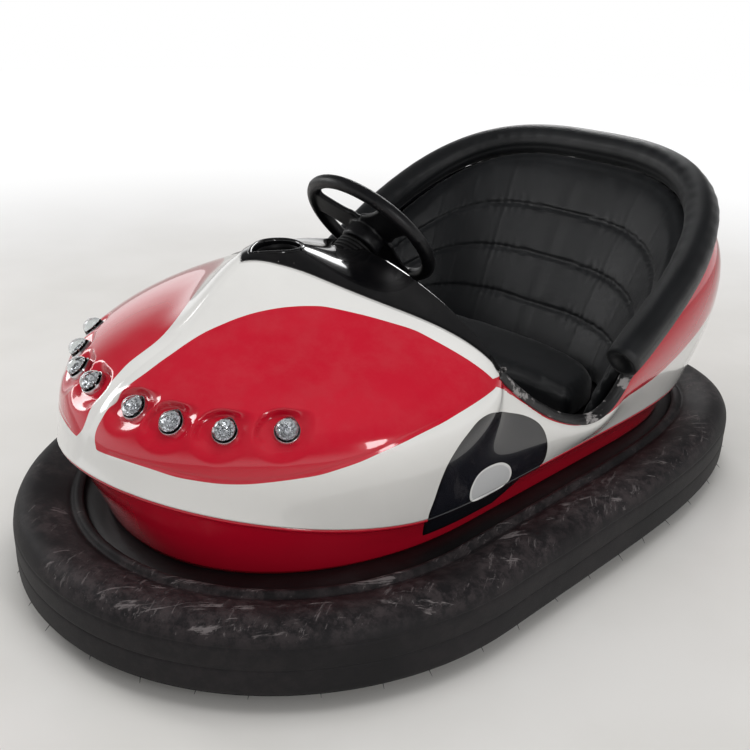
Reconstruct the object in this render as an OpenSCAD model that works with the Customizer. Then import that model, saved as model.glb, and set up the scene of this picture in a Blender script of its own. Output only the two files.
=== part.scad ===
// A fairground bumper car: a rubber tyre right round a low steel chassis, a glossy
// two-colour shell with an open cockpit, one steered drive wheel in front and two
// fixed wheels behind. Units are millimetres. The nose points to -Y, +X is the left
// flank, and Z = 0 is the floor.

/* [Bumper] */
// Length over the bumper tyre
car_length = 1950; // [1850:10:2100]
// Width over the bumper tyre
car_width = 1244; // [1200:4:1320]
// Depth of the tyre's section, from its outer wall to its inner wall
tyre_depth = 150; // [130:5:160]
// Height of the tyre's lower edge above the floor
tyre_low = 45; // [35:1:60]
// Height of the tyre's shoulder above the floor
tyre_high = 191; // [188:1:215]
// Length of the rounded nose of the plan outline
nose_len = 666; // [600:2:720]
// Length of the rounded tail of the plan outline
tail_len = 980; // [900:5:1000]

/* [Deck] */
// Width of the flat ledge between the tyre and the shell
ledge_w = 54; // [40:1:65]
// Top of the ledge above the floor
deck_top = 166; // [160:1:180]
// Thickness of the ledge
deck_t = 8; // [5:1:10]
// How far the ledge runs in under the shell
deck_tuck = 30; // [22:1:40]
// Thickness of the steel hoop behind the tyre
hoop_t = 8; // [5:1:12]

/* [Shell] */
// Wall thickness of the shell mouldings
shell_t = 10; // [8:1:12]
// Height of the belt's lower lip along the flanks
lip_z = 262; // [245:1:275]
// How much higher the lip lies at the nose
lip_rise = 112; // [80:1:125]
// How far the lip stands out from the skirt's foot along the flanks
flare_side = 50; // [40:1:60]
// How far the lip stands out from the skirt's foot at the nose
flare_nose = 108; // [90:1:115]
// How far the lip stands out from the skirt's foot at the tail
flare_tail = 75; // [60:1:90]
// Depth of the step under the lip
lip_step = 14; // [10:1:18]
// Height of the dashboard's edge in the middle
dash_z = 690; // [660:2:710]
// Height of the dashboard's edge at its corners
corner_z = 535; // [515:1:550]
// Position of the dashboard's edge along the car
dash_y = -178; // [-195:1:-165]
// Lowest height of the door sill
sill_z = 343; // [335:1:370]
// Position of the sill's lowest point along the car
sill_y = 110; // [90:2:130]
// Position of the front end of the seat's arms along the car
arm_y = 215; // [200:1:230]
// Height of the shell's edge at the seat's arms
arm_z = 415; // [400:1:430]
// Height of the shell's edge behind the seat
rim_z = 752; // [720:2:780]
// How far the rim stands out from the lip over the seat's arms
rim_flare = 32; // [24:1:38]
// How far the rim stays in front of the lip behind the seat
rim_setback = 75; // [66:1:96]
// Height that the cowl's hump adds on the centreline
hump_z = 66; // [50:1:72]
// Half-width of the cowl's hump
hump_w = 93; // [80:1:105]
// Length of the hump in front of the dashboard's edge
hump_l = 382; // [370:2:400]
// Length of the rise at the hump's front end
hump_ramp = 100; // [80:2:120]
// Length of the fall at the hump's rear end
hump_fall = 168; // [140:2:180]

/* [Cowl] */
// Thickness of the cowl moulding over the shell's wall
cowl_proud = 3; // [2:0.5:5]
// Length of the well in the cowl's hump
well_len = 112; // [100:1:120]
// Width of the well
well_w = 84; // [76:1:90]
// Depth of the well
well_depth = 46; // [36:1:55]
// Radius of the notch for the steering column in the cowl's rear edge
notch_r = 52; // [50:0.5:56]
// Distance of the well's middle in front of the dashboard's edge
well_ahead = 206; // [200:1:215]

/* [Lamps] */
// Radius of a lamp's clear dome
lens_r = 22; // [18:1:23]
// Height of a lamp's clear dome
lens_h = 24; // [18:1:28]
// Radius of a lamp's cup
cup_r = 25; // [24.5:0.5:26]
// Depth of the scoop round a lamp
scoop_depth = 13; // [9:1:15]
// Radius of the scoop round a lamp
scoop_r = 58; // [54:1:62]

/* [Seat] */
// Radius of the padded roll on the rim
roll_r = 43; // [38:1:46]
// Thickness of the seat's back pad
back_t = 42; // [34:1:46]
// Height of the seat base's flange
seat_z = 250; // [240:1:256]
// Thickness of the seat cushion
cushion_t = 78; // [65:1:85]
// Position of the seat's front edge along the car
seat_y = 205; // [195:1:215]
// Gap between the foot of the seat's side pads and the skirt's foot
seat_inset = 33; // [28:1:48]
// Depth of the seat between its front edge and the back pad's foot
seat_depth = 265; // [250:1:268]
// Width of the electric box under the seat
battery_w = 300; // [260:5:340]
// Length of the electric box
battery_l = 180; // [150:5:200]
// Height of the electric box
battery_h = 88; // [70:1:92]

/* [Chassis] */
// Height of the chassis tubes' lower faces above the floor
frame_low = 100; // [95:1:104]
// Side of the square chassis tubes
tube = 40; // [36:1:42]
// Half the distance between the two long tubes' centres
rail_x = 180; // [170:1:185]
// Thickness of the floor plate
floor_t = 3; // [2:0.5:4]
// Radius of the round hole over the drive wheel
well_r = 136; // [132:1:142]

/* [Drive] */
// Distance of the drive wheel's swivel from the bumper's nose
drive_back = 495; // [480:1:510]
// Radius of the drive wheel
drive_r = 100; // [90:1:105]
// Width of the drive wheel
drive_w = 58; // [50:1:62]
// Radius of the drive wheel's hub
drive_hub_r = 52; // [44:1:58]
// Radius of the drive wheel's axle
drive_axle_r = 11; // [9:0.5:13]
// Radius of the motor over the drive wheel
motor_r = 58; // [50:1:60]
// Height of the motor
motor_h = 112; // [95:1:116]
// Radius of the upright shaft in the head of the mount
king_r = 15; // [12:0.5:18]
// Gap around moving pieces
run_gap = 6; // [5:0.5:8]
// Radial play of a shaft in its bore
play = 0.08; // [0.05:0.01:0.1]

/* [Rear wheels] */
// Radius of a rear wheel
rear_r = 80; // [74:1:84]
// Width of a rear wheel
rear_w = 42; // [36:1:44]
// Radius of a rear wheel's hub
rear_hub_r = 42; // [36:1:48]
// Radius of a rear axle pin
pin_r = 9; // [8:0.5:11]
// Half the track of the rear wheels
rear_x = 290; // [284:1:296]
// Distance of the rear axle from the bumper's tail
rear_ahead = 415; // [400:1:418]
// Thickness of the rear wheels' bracket plates
plate_t = 8; // [6:1:10]

/* [Steering] */
// Position of the steering wheel's centre along the car
wheel_y = -117; // [-125:1:-110]
// Height of the steering wheel's centre
wheel_z = 708; // [700:1:716]
// Angle of the column from the vertical
column_tilt = 50; // [48:0.5:52]
// Radius of the steering wheel over its rim
wheel_r = 171; // [160:1:176]
// Radius of the rim's section
rim_r = 14; // [12:0.5:16]
// Radius of the hub bell
bell_r = 46; // [40:1:50]
// Height of the hub bell under the spokes
bell_h = 46; // [42:1:50]
// Radius of the column's tube
column_r = 21; // [19:0.5:24]
// Radius of the steering shaft
shaft_r = 11; // [9:0.5:13]

/* [Hidden] */

// Stations along half the outline: nose 0, door's front end, seat's arm, tail 1
door_u = 0.42;
arm_u = 0.56;
// Station of the joint between the front and rear mouldings, in the door sill
joint_u = 0.49;
// Clearance between two pieces that meet along a curved face
seam = 0.3;
// Number of stations round the whole outline
stations = 96;

skirt_w = car_width / 2 - tyre_depth - ledge_w;
skirt_nose = -car_length / 2 + tyre_depth + ledge_w;
skirt_tail = car_length / 2 - tyre_depth - ledge_w;
door_y = dash_y - 27;
drive_y = -car_length / 2 + drive_back;
rear_y = car_length / 2 - rear_ahead;
frame_top = frame_low + tube;
floor_top = frame_top + floor_t;
deck_low = deck_top - deck_t;

// Plan outlines: half-width, nose, end of the nose curve and its power, start of the
// tail curve, tail and its power
bumper_plan = [car_width / 2, -car_length / 2, -car_length / 2 + nose_len, 2.02,
               car_length / 2 - tail_len, car_length / 2, 3.23];
skirt_plan = [skirt_w, skirt_nose, door_y, 2.15, arm_y, skirt_tail, 3.6];
lip_plan = [skirt_w + flare_side, skirt_nose - flare_nose, door_y, 2.05,
            arm_y, skirt_tail + flare_tail, 3.27];
rim_plan = [skirt_w + flare_side + rim_flare, 0, 0, 2, arm_y,
            skirt_tail + flare_tail - rim_setback, 2.9];

// Positive power that stays defined at zero
function root(v, p) = v <= 0 ? 0 : pow(v, p);
function ease(k) = let(c = min(1, max(0, k))) c * c * (3 - 2 * c);
function mix(a, b, k) = a + (b - a) * k;
function unit(v) = v / norm(v);

// Point of a plan outline at station u of its left half
function half_plan(u, o) =
  u <= door_u ?
    let(a = 90 * u / door_u)
    [o[0] * root(sin(a), 2 / o[3]), o[2] + (o[1] - o[2]) * root(cos(a), 2 / o[3])]
  : u <= arm_u ?
    [o[0], mix(o[2], o[4], (u - door_u) / (arm_u - door_u))]
  : let(a = 90 * (u - arm_u) / (1 - arm_u))
    [o[0] * root(cos(a), 2 / o[6]), o[4] + (o[5] - o[4]) * root(sin(a), 2 / o[6])];

// Stations run from -1 through the nose at 0 to 1 and close at the tail
function wrap(s) = s > 1 ? s - 2 : s < -1 ? s + 2 : s;
function flip(s, p) = wrap(s) < 0 ? [-p[0], p[1], p[2]] : p;
function plan(s, o) = let(p = half_plan(abs(wrap(s)), o)) wrap(s) < 0 ? [-p[0], p[1]] : p;
function outward(s, o) =
  let(t = unit(plan(s + 0.002, o) - plan(s - 0.002, o))) [t[1], -t[0]];
// Loop of points a distance inside an outline, at height z
function inset_loop(o, d, z) = [
  for (i = [0 : stations - 1])
    let(s = -1 + 2 * i / stations, p = plan(s, o) - d * outward(s, o)) [p[0], p[1], z]
];
function flat(loop) = [for (p = loop) [p[0], p[1]]];

// Height of the belt's lip at a position along the car
function lip_height(y) =
  let(k = min(1, max(0, (door_y - 175 - y) / (door_y - 175 - lip_plan[1]))))
  lip_z + lip_rise * pow(k, 1.4);
function lip_point(u) = let(p = half_plan(u, lip_plan)) [p[0], p[1], lip_height(p[1])];

// Edge of the cockpit opening: dashboard, door cut-out, then the seat's rim
corner_x = lip_plan[0] - 3;
function dash_point(a) = [
  corner_x * sin(a),
  mix(dash_y, door_y, pow(sin(a), 6)),
  mix(dash_z, corner_z, pow(sin(a), 1.7))
];
function sill_point(k) =
  let(y = mix(door_y, arm_y, k),
      fall = max(0, (sill_y - y) / (sill_y - door_y)),
      lift = max(0, (y - sill_y) / (arm_y - sill_y)))
  [mix(corner_x, rim_plan[0], pow(k, 1.3)), y,
   sill_z + (corner_z - sill_z) * pow(fall, 1.6) + (arm_z - sill_z) * pow(lift, 2.2)];
function rim_point(a) =
  let(y = rim_plan[4] + (rim_plan[5] - rim_plan[4]) * root(sin(a), 2 / rim_plan[6]))
  [rim_plan[0] * root(cos(a), 2 / rim_plan[6]), y,
   mix(arm_z, rim_z, (y - rim_plan[4]) / (rim_plan[5] - rim_plan[4]))];
function edge_point(u) =
  u <= door_u ? dash_point(90 * u / door_u)
  : u <= arm_u ? sill_point((u - door_u) / (arm_u - door_u))
  : rim_point(90 * (u - arm_u) / (1 - arm_u));

// Hump of the cowl over the hood
function hump(p) =
  let(back = p[1] - dash_y)
  hump_z * exp(-pow(p[0] / hump_w, 2)) * ease((back + hump_l) / hump_ramp)
  * (1 - 0.85 * ease((back + hump_fall) / hump_fall));

// Pull of the shell's curve: outward and up from the lip, then outward and up from the
// opening's edge, at the nose, between nose and door, along the door, and at the tail
hood_l = dash_y - lip_plan[1];
nose_pull = [-27, 164, 0.685 * hood_l, -97];
cheek_pull = [15, 8, 0.2 * hood_l, 69];
door_pull = [18, 94, 27, -89];
tail_pull = [71, 163, 150, -48];
// Height from lip to edge at which the door's pull is whole
full_rise = 270;
function pull(u, rise) =
  let(a = 90 * u / door_u)
  u <= door_u ? mix(nose_pull, door_pull, pow(sin(a), 2)) + cheek_pull * sin(2 * a)
  : let(side = [for (i = [0 : 3]) door_pull[i] * (i % 2 == 0 ? 1 : rise)])
    u <= arm_u ? side : mix(side, tail_pull, ease(1.5 * (u - arm_u) / (1 - arm_u)));

// Point of the shell's outer face: v runs from the lip at 0 to the opening's edge at 1
function raw_skin(u, v) =
  let(b = lip_point(u), e = edge_point(u),
      a = 90 * u / door_u,
      c = 90 * (u - arm_u) / (1 - arm_u),
      dir = u <= door_u ? unit([pow(sin(a), 2), -cos(a), 0])
        : u <= arm_u ? [1, 0, 0] : [cos(c), sin(c), 0],
      f = pull(u, min(1, (e[2] - b[2]) / full_rise)),
      p1 = b + dir * f[0] + [0, 0, f[1]],
      p2 = e + dir * f[2] + [0, 0, f[3]],
      w = 1 - v)
  b * w * w * w + 3 * p1 * w * w * v + 3 * p2 * w * v * v + e * v * v * v;
function skin(s, v) =
  let(u = abs(wrap(s)), p = raw_skin(u, v), lift = u < door_u ? hump(p) : 0)
  flip(s, [p[0], p[1], p[2] + lift]);
function skin_normal(s, v) =
  let(v0 = max(0, v - 0.01), v1 = min(1, v + 0.01),
      ds = skin(s + 0.004, v) - skin(s - 0.004, v),
      dv = skin(s, v1) - skin(s, v0))
  unit(cross(ds, dv));

// Lamps: station and height on the shell, from the centreline outwards
lamp_spots = [[0.041, 0.323], [0.089, 0.333], [0.134, 0.374], [0.171, 0.444]];
// Flat-bottomed scoop round each lamp
function scoop(p) =
  scoop_depth * max([for (l = lamp_spots)
    let(q = skin(l[0], l[1]), d = norm([abs(p[0]), p[1], p[2]] - q))
    1 - ease((d - cup_r - 13) / (scoop_r - cup_r - 13))]);
function outer_face(s, v) =
  let(p = skin(s, v)) v < 0.75 && abs(s) < 0.3 ? p - scoop(p) * skin_normal(s, v) : p;
// Direction through the wall: level along the lip, square to the skin above it
function wall_dir(s, v) =
  let(n = skin_normal(s, v)) unit([n[0], n[1], n[2] * min(1, v / 0.06)]);

// Front edge of the black cowl across the hood
function cowl_edge(u) =
  let(k = u / door_u) k >= 1 ? 1 : 0.82 + 0.178 * k - 0.05 * exp(-pow(k / 0.09, 2));
seam_v = 0.0008;

// Closed ring lofted through loops that have the same number of points
module ring(loops) {
  n = len(loops[0]);
  m = len(loops);
  polyhedron(
    points = [for (l = loops) each l],
    faces = [for (j = [0 : m - 1]) for (i = [0 : n - 1])
      let(a = j * n + i, b = j * n + (i + 1) % n,
          c = ((j + 1) % m) * n + (i + 1) % n, d = ((j + 1) % m) * n + i)
      each [[a, c, b], [a, d, c]]]
  );
}

// Closed wall between two grids of points, row by row
module wall(outer, inner) {
  r = len(outer);
  c = len(outer[0]);
  o = r * c;
  polyhedron(
    points = concat([for (row = outer) each row], [for (row = inner) each row]),
    faces = concat(
      [for (j = [0 : r - 2]) for (i = [0 : c - 2])
        let(a = j * c + i) each [[a, a + c + 1, a + 1], [a, a + c, a + c + 1]]],
      [for (j = [0 : r - 2]) for (i = [0 : c - 2])
        let(a = o + j * c + i) each [[a, a + 1, a + c + 1], [a, a + c + 1, a + c]]],
      [for (i = [0 : c - 2])
        let(a = i, b = o + i) each [[a, a + 1, b + 1], [a, b + 1, b]]],
      [for (i = [0 : c - 2])
        let(a = (r - 1) * c + i, b = o + a) each [[a, b + 1, a + 1], [a, b, b + 1]]],
      [for (j = [0 : r - 2])
        let(a = j * c, b = o + a) each [[a, b + c, a + c], [a, b, b + c]]],
      [for (j = [0 : r - 2])
        let(a = j * c + c - 1, b = o + a) each [[a, a + c, b + c], [a, b + c, b]]]
    )
  );
}

// Round tube swept along a row of points
module swept(path, r, sides) {
  n = len(path);
  function along(i) = unit(path[min(n - 1, i + 1)] - path[max(0, i - 1)]);
  function hoop(i) =
    let(t = along(i), x = unit(cross([0, 0, 1], t)), y = cross(t, x))
    [for (k = [0 : sides - 1]) path[i] + r * (cos(360 * k / sides) * x + sin(360 * k / sides) * y)];
  polyhedron(
    points = [for (i = [0 : n - 1]) each hoop(i)],
    faces = concat(
      [[for (k = [0 : sides - 1]) k]],
      [for (i = [0 : n - 2]) for (k = [0 : sides - 1])
        let(a = i * sides + k, b = i * sides + (k + 1) % sides)
        each [[a, b + sides, b], [a, a + sides, b + sides]]],
      [[for (k = [sides - 1 : -1 : 0]) (n - 1) * sides + k]]
    )
  );
}

// Places children on the shell, z along its outward normal
module on_skin(s, v, lift) {
  n = skin_normal(s, v);
  translate(skin(s, v) + lift * n)
    rotate([0, acos(n[2]), atan2(n[1], n[0])])
      children();
}

// Places children in the steering column's frame, z towards the driver
module on_column(along) {
  translate([0, wheel_y, wheel_z])
    rotate([-column_tilt, 0, 0])
      translate([0, 0, along])
        children();
}

// Section of the bumper tyre: depth from its outer wall, height
tyre_section = [
  [6, tyre_low], [0, tyre_low + 10], [0, tyre_low + 57], [0, tyre_low + 104],
  [8, tyre_high - 23], [27, tyre_high - 6], [50, tyre_high], [86, tyre_high - 6],
  [114, tyre_high - 15], [122, tyre_high - 20], [130, tyre_high - 14], [141, tyre_high - 11],
  [tyre_depth - 2, tyre_high - 15], [tyre_depth, deck_top - 2],
  [tyre_depth, tyre_low + 15], [tyre_depth - 10, tyre_low]
];

module bumper_tyre() {
  color("#1d1c1e")
    ring([for (p = tyre_section) inset_loop(bumper_plan, p[0], p[1])]);
}

// Flat steel band that the tyre is stretched round
module bumper_hoop() {
  color("#3a3c40")
    translate([0, 0, tyre_low + 17])
      linear_extrude(deck_low - tyre_low - 17)
        difference() {
          polygon(flat(inset_loop(bumper_plan, tyre_depth, 0)));
          polygon(flat(inset_loop(bumper_plan, tyre_depth + hoop_t, 0)));
        }
}

// Ledge between the tyre and the shell, resting on the hoop
module deck_ring() {
  color("#151517")
    translate([0, 0, deck_low])
      linear_extrude(deck_t)
        difference() {
          polygon(flat(inset_loop(bumper_plan, tyre_depth, 0)));
          polygon(flat(inset_loop(skirt_plan, deck_tuck, 0)));
        }
}

// Prism inside the hoop, which trims what is welded to it
module inside_hoop(low, high) {
  translate([0, 0, low])
    linear_extrude(high - low)
      polygon(flat(inset_loop(bumper_plan, tyre_depth + hoop_t, 0)));
}

// Length of the rear wheels' bracket plates
bracket_l = 180;
// Cross tubes: positions along the car
cross_tubes = [drive_y - 215, drive_y + 215, 0.4 * tube, rear_y - bracket_l / 2 - tube / 2,
               rear_y + bracket_l / 2 + tube / 2];
bracket_x = [rear_x - rear_w / 2 - run_gap - plate_t, rear_x + rear_w / 2 + run_gap];

module frame_rails() {
  color("#2d2f33")
    intersection() {
      for (x = [-rail_x, rail_x])
        translate([x - tube / 2, -car_length / 2, frame_low])
          cube([tube, car_length, tube]);
      inside_hoop(frame_low, frame_top);
    }
}

// Cross tubes, each in three lengths welded between and outside the rails
module frame_crossbars() {
  inner = rail_x - tube / 2;
  outer = rail_x + tube / 2;
  color("#2d2f33")
    intersection() {
      for (y = cross_tubes)
        translate([0, y - tube / 2, frame_low]) {
          translate([-inner, 0, 0])
            cube([2 * inner, tube, tube]);
          for (x = [-car_width / 2, outer])
            translate([x, 0, 0])
              cube([car_width / 2 - outer, tube, tube]);
        }
      inside_hoop(frame_low, frame_top);
    }
}

// Bracket plates on both sides of each rear wheel, between two cross tubes
module wheel_brackets() {
  color("#2d2f33")
    difference() {
      for (side = [-1, 1], x = bracket_x)
        translate([side > 0 ? x : -x - plate_t, rear_y - bracket_l / 2, rear_r - 24])
          cube([plate_t, bracket_l, frame_top - rear_r + 24]);
      for (side = [-1, 1])
        translate([side * rear_x, rear_y, rear_r])
          rotate([0, 90, 0])
            cylinder(r = pin_r + play, h = 2 * plate_t + rear_w + 4 * run_gap, center = true, $fn = 48);
    }
}

module floor_plate() {
  color("#26282b")
    difference() {
      inside_hoop(frame_top, floor_top);
      translate([0, drive_y, frame_top - 1])
        cylinder(r = well_r, h = floor_t + 2, $fn = 96);
      for (x = [-rear_x, rear_x])
        translate([x - rear_w / 2 - run_gap, rear_y - bracket_l / 2 + 2, frame_top - 1])
          cube([rear_w + 2 * run_gap, bracket_l - 4, floor_t + 2]);
    }
}

// Lower moulding, tucked in under the belt's lip
module lower_skirt() {
  function loop(k, d) = [
    for (i = [0 : stations - 1])
      let(s = -1 + 2 * i / stations, u = abs(wrap(s)),
          f = half_plan(u, skirt_plan), l = lip_point(u),
          top = [l[0], l[1], l[2] - 2 * seam],
          foot = [f[0], f[1], deck_top],
          n = outward(s, lip_plan),
          p = flip(s, mix(foot, top, k))) [p[0], p[1], p[2]] - d * [n[0], n[1], 0]
  ];
  color("#c4122b")
    ring([
      loop(1, lip_step - 8), loop(0.93, lip_step - 10), loop(0.86, lip_step - 4),
      loop(0.55, 10), loop(0.2, 3), loop(0, 0),
      loop(0, shell_t), loop(0.2, 3 + shell_t), loop(0.55, 10 + shell_t),
      loop(0.86, lip_step + shell_t), loop(1, lip_step + shell_t)
    ]);
}

// Even steps between marks: steps(marks, n) has n[i] steps from marks[i] to marks[i + 1]
function steps(marks, n) = concat(
  [for (i = [0 : len(n) - 1]) for (k = [0 : n[i] - 1]) mix(marks[i], marks[i + 1], k / n[i])],
  [marks[len(n)]]);
// Mouldings' half-gap at the joint, as a station
joint_gap = seam / 2 * (arm_u - door_u) / (arm_y - door_y);

// Grid over the hood, finest round the lamps
cowl_end = door_u * 0.975;
hood_half = steps(
  [0, lamp_spots[0][0], lamp_spots[1][0], lamp_spots[2][0], lamp_spots[3][0], 0.22,
   cowl_end, door_u, joint_u - joint_gap],
  [4, 4, 4, 3, 3, 6, 1, 4]);
hood_n = len(hood_half);
hood_stations = concat([for (i = [hood_n - 1 : -1 : 1]) -hood_half[i]], hood_half);
hood_rows = steps([0, 0.23, 0.55, 1], [4, 9, 5]);

module hood_shell() {
  function top(s) = cowl_edge(abs(s)) - (abs(s) < door_u ? seam_v : 0);
  color("#c4122b")
    wall(
      [for (r = hood_rows) [for (s = hood_stations) outer_face(s, top(s) * r)]],
      [for (r = hood_rows) [for (s = hood_stations)
        let(v = top(s) * r) outer_face(s, v) - shell_t * wall_dir(s, v)]]
    );
}

tail_rows = 11;
tail_half = steps([joint_u + joint_gap, arm_u, 1], [4, 17]);
tail_stations = concat(tail_half, [for (i = [len(tail_half) - 2 : -1 : 0]) 2 - tail_half[i]]);

module tail_shell() {
  color("#e9e8e4")
    wall(
      [for (j = [0 : tail_rows]) [for (s = tail_stations) skin(s, j / tail_rows)]],
      [for (j = [0 : tail_rows]) [for (s = tail_stations)
        let(v = j / tail_rows) skin(s, v) - shell_t * wall_dir(s, v)]]
    );
}

// Middle of the well in the cowl's hump
well_y = dash_y - well_ahead;
well_slope = 12;
well_z = 716;
// Pointed oval, its point to the nose
module well_outline(grow) {
  r = well_len * 0.62;
  intersection() {
    translate([r - well_w / 2, 0])
      circle(r = r + grow, $fn = 64);
    translate([well_w / 2 - r, 0])
      circle(r = r + grow, $fn = 64);
    translate([-well_w, -well_len / 2 - grow - 20])
      square([2 * well_w, well_len + grow + 20]);
  }
}
module at_well(lift) {
  translate([0, well_y, well_z])
    rotate([well_slope, 0, 0])
      translate([0, 0, lift])
        children();
}

cowl_rows = 5;
module dash_cowl() {
  cols = [for (s = hood_stations) if (abs(s) <= cowl_end + 0.0001) s];
  function v_at(s, j) = mix(cowl_edge(abs(s)), 1, j / cowl_rows);
  color("#1b1c1f")
    difference() {
      wall(
        [for (j = [0 : cowl_rows]) [for (s = cols) let(v = v_at(s, j)) skin(s, v) + cowl_proud * skin_normal(s, v)]],
        [for (j = [0 : cowl_rows]) [for (s = cols)
          let(v = v_at(s, j)) skin(s, v) + (cowl_proud - shell_t) * skin_normal(s, v)]]
      );
      at_well(-40)
        linear_extrude(80)
          well_outline(0);
      on_column(-150)
        cylinder(r = notch_r, h = 130, $fn = 64);
    }
}

// Raised lip round the well
module cowl_bezel() {
  color("#101113")
    at_well(-18)
      linear_extrude(30)
        difference() {
          well_outline(-seam);
          well_outline(-5);
        }
}

module cowl_well() {
  color("#0c0c0e")
    at_well(-18 - well_depth)
      difference() {
        linear_extrude(well_depth)
          well_outline(-seam);
        translate([0, 0, 3])
          linear_extrude(well_depth)
            well_outline(-5);
      }
}

// Path raised square to itself by a distance
function lifted(path, d) = let(n = len(path)) [
  for (i = [0 : n - 1])
    let(t = unit(path[min(n - 1, i + 1)] - path[max(0, i - 1)]))
    path[i] + d * unit([0, 0, 1] - t[2] * t)
];

// Rubber edging of the door cut-outs
trim_r = 7;
module sill_trim() {
  function on_sill(u) =
    let(n = skin_normal(u, 1), along = skin(u + 0.004, 1) - skin(u - 0.004, 1))
    skin(u, 1) - shell_t / 2 * n + (trim_r + 2 * seam) * unit(cross(n, along));
  last = on_sill(tail_half[3]);
  path = concat([for (u = hood_half) if (u >= door_u) on_sill(u)],
                [for (i = [1 : 3]) on_sill(tail_half[i])],
                [mix(last, on_sill(arm_u), 0.7)]);
  color("#141416")
    for (side = [-1, 1])
      swept([for (p = path) [side * p[0], p[1], p[2]]], trim_r, 8);
}

// Height of a cup's rim over its spigot
cup_lift = 5;
// Gap between a cup's spigot and the scoop's floor
cup_gap = 0.7;
module lamp_cups(side) {
  color("#c9ccd0")
    for (l = lamp_spots)
      on_skin(side * l[0], l[1], cup_gap - scoop_depth)
        difference() {
          union() {
            cylinder(r = 9, h = cup_lift + 1, $fn = 32);
            translate([0, 0, cup_lift])
              cylinder(r = cup_r, h = 7, $fn = 48);
          }
          translate([0, 0, cup_lift + 3])
            cylinder(r = lens_r + seam, h = 5, $fn = 48);
        }
}

module lamp_lenses(side) {
  color("#dfe6ea")
    for (l = lamp_spots)
      on_skin(side * l[0], l[1], cup_gap - scoop_depth + cup_lift + 3)
        rotate_extrude($fn = 48)
          difference() {
            intersection() {
              translate([0, (lens_h * lens_h - lens_r * lens_r) / (2 * lens_h)])
                circle(r = (lens_h * lens_h + lens_r * lens_r) / (2 * lens_h), $fn = 96);
              square([lens_r, lens_h + 1]);
            }
            square([lens_r - 3, 4]);
          }
}

// Rim stations, arm to arm round the tail
rim_half = steps([arm_u, 1], [17]);
rim_stations = concat(rim_half, [for (i = [len(rim_half) - 2 : -1 : 0]) 2 - rim_half[i]]);
function rim_at(s) = flip(s, edge_point(abs(wrap(s))));

module rim_roll() {
  color("#1a1c20")
    swept(lifted([for (s = rim_stations) rim_at(s)], roll_r + seam), roll_r, 12);
}

// Foot of the back pad's face
pad_plan = [skirt_w - seat_inset, 0, 0, 2, arm_y, seat_y + seat_depth, 2.8];
module seat_back_pad() {
  rows = 6;
  // The face leans from its foot on the seat to the rim; d goes back into the pad
  function face(s, k, d) =
    let(f = plan(s, pad_plan), r = rim_at(s), n = outward(s, rim_plan),
        foot = [f[0], f[1], seat_z + seam],
        head = r - (shell_t + 2 + back_t) * [n[0], n[1], 0] - [0, 0, 4],
        lean = mix(foot, head, k) + 6 * sin(180 * k) * [n[0], n[1], 0])
    lean + d * [n[0], n[1], 0];
  color("#191b1f")
    wall(
      [for (j = [0 : rows]) [for (s = rim_stations) face(s, j / rows, back_t)]],
      [for (j = [0 : rows]) [for (s = rim_stations) face(s, j / rows, 0)]]
    );
}

// Seat's outline: the back pad's foot, grown by a distance, closed along the front edge
module seat_plan(grow) {
  bend = [for (s = rim_stations) plan(s, pad_plan) + grow * outward(s, pad_plan)];
  polygon(concat(bend, [[bend[len(bend) - 1][0], seat_y], [bend[0][0], seat_y]]));
}

module seat_cushion() {
  color("#232428")
    translate([0, 0, seat_z + seam])
      linear_extrude(cushion_t)
        seat_plan(-8);
}

module seat_base() {
  flange = 5;
  color("#222326")
    union() {
      translate([0, 0, seat_z - flange])
        linear_extrude(flange)
          seat_plan(back_t - 2);
      translate([0, 0, floor_top])
        linear_extrude(seat_z - floor_top - flange)
          difference() {
            seat_plan(-6);
            translate([0, 6])
              seat_plan(-12);
          }
    }
}

module battery_block() {
  color("#3b3d42")
    translate([-battery_w / 2, seat_y + 40, floor_top])
      cube([battery_w, battery_l, battery_h]);
}

// Cast cone over the drive wheel, with a slanting socket for the column on its head
mount_flange_r = well_r + 42;
fork_top = drive_r * 2 + 26;
motor_top = fork_top + motor_h;
head_low = motor_top + run_gap;
head_z = wheel_z - (wheel_y - drive_y) / tan(column_tilt);
head_r = king_r + 24;
column_low = -(wheel_y - drive_y) / sin(column_tilt);
socket_top = column_low + 76;
king_top = head_z - 18;
module swivel_mount() {
  color("#4a4d52")
    difference() {
      union() {
        translate([0, drive_y, floor_top])
          rotate_extrude($fn = 96)
            polygon([[well_r, 0], [mount_flange_r, 0], [mount_flange_r, 8], [well_r + 8, 14],
                     [motor_r + 22, head_low - floor_top], [head_r, head_low - floor_top + 12],
                     [head_r, head_z - floor_top + 12], [0, head_z - floor_top + 12],
                     [0, head_low - floor_top], [motor_r + run_gap, head_low - floor_top],
                     [motor_r + run_gap + 6, head_low - floor_top - 10], [well_r, 9]]);
        on_column(column_low)
          cylinder(r = column_r + 9, h = socket_top - column_low, $fn = 48);
      }
      translate([0, drive_y, head_low - 30])
        cylinder(r = king_r + play, h = king_top + 4 - head_low + 30, $fn = 48);
      on_column(column_low + 36)
        cylinder(r = shaft_r + play, h = 80, $fn = 48);
    }
}

// Column: a tube from the cast head up to the boot under the steering wheel
boot_low = -92;
tube_high = boot_low + 20;
module column_tube() {
  color("#34363a")
    on_column(socket_top)
      difference() {
        cylinder(r = column_r, h = tube_high - socket_top, $fn = 48);
        translate([0, 0, -1])
          cylinder(r = shaft_r + play, h = tube_high - socket_top + 2, $fn = 48);
      }
}

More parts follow.
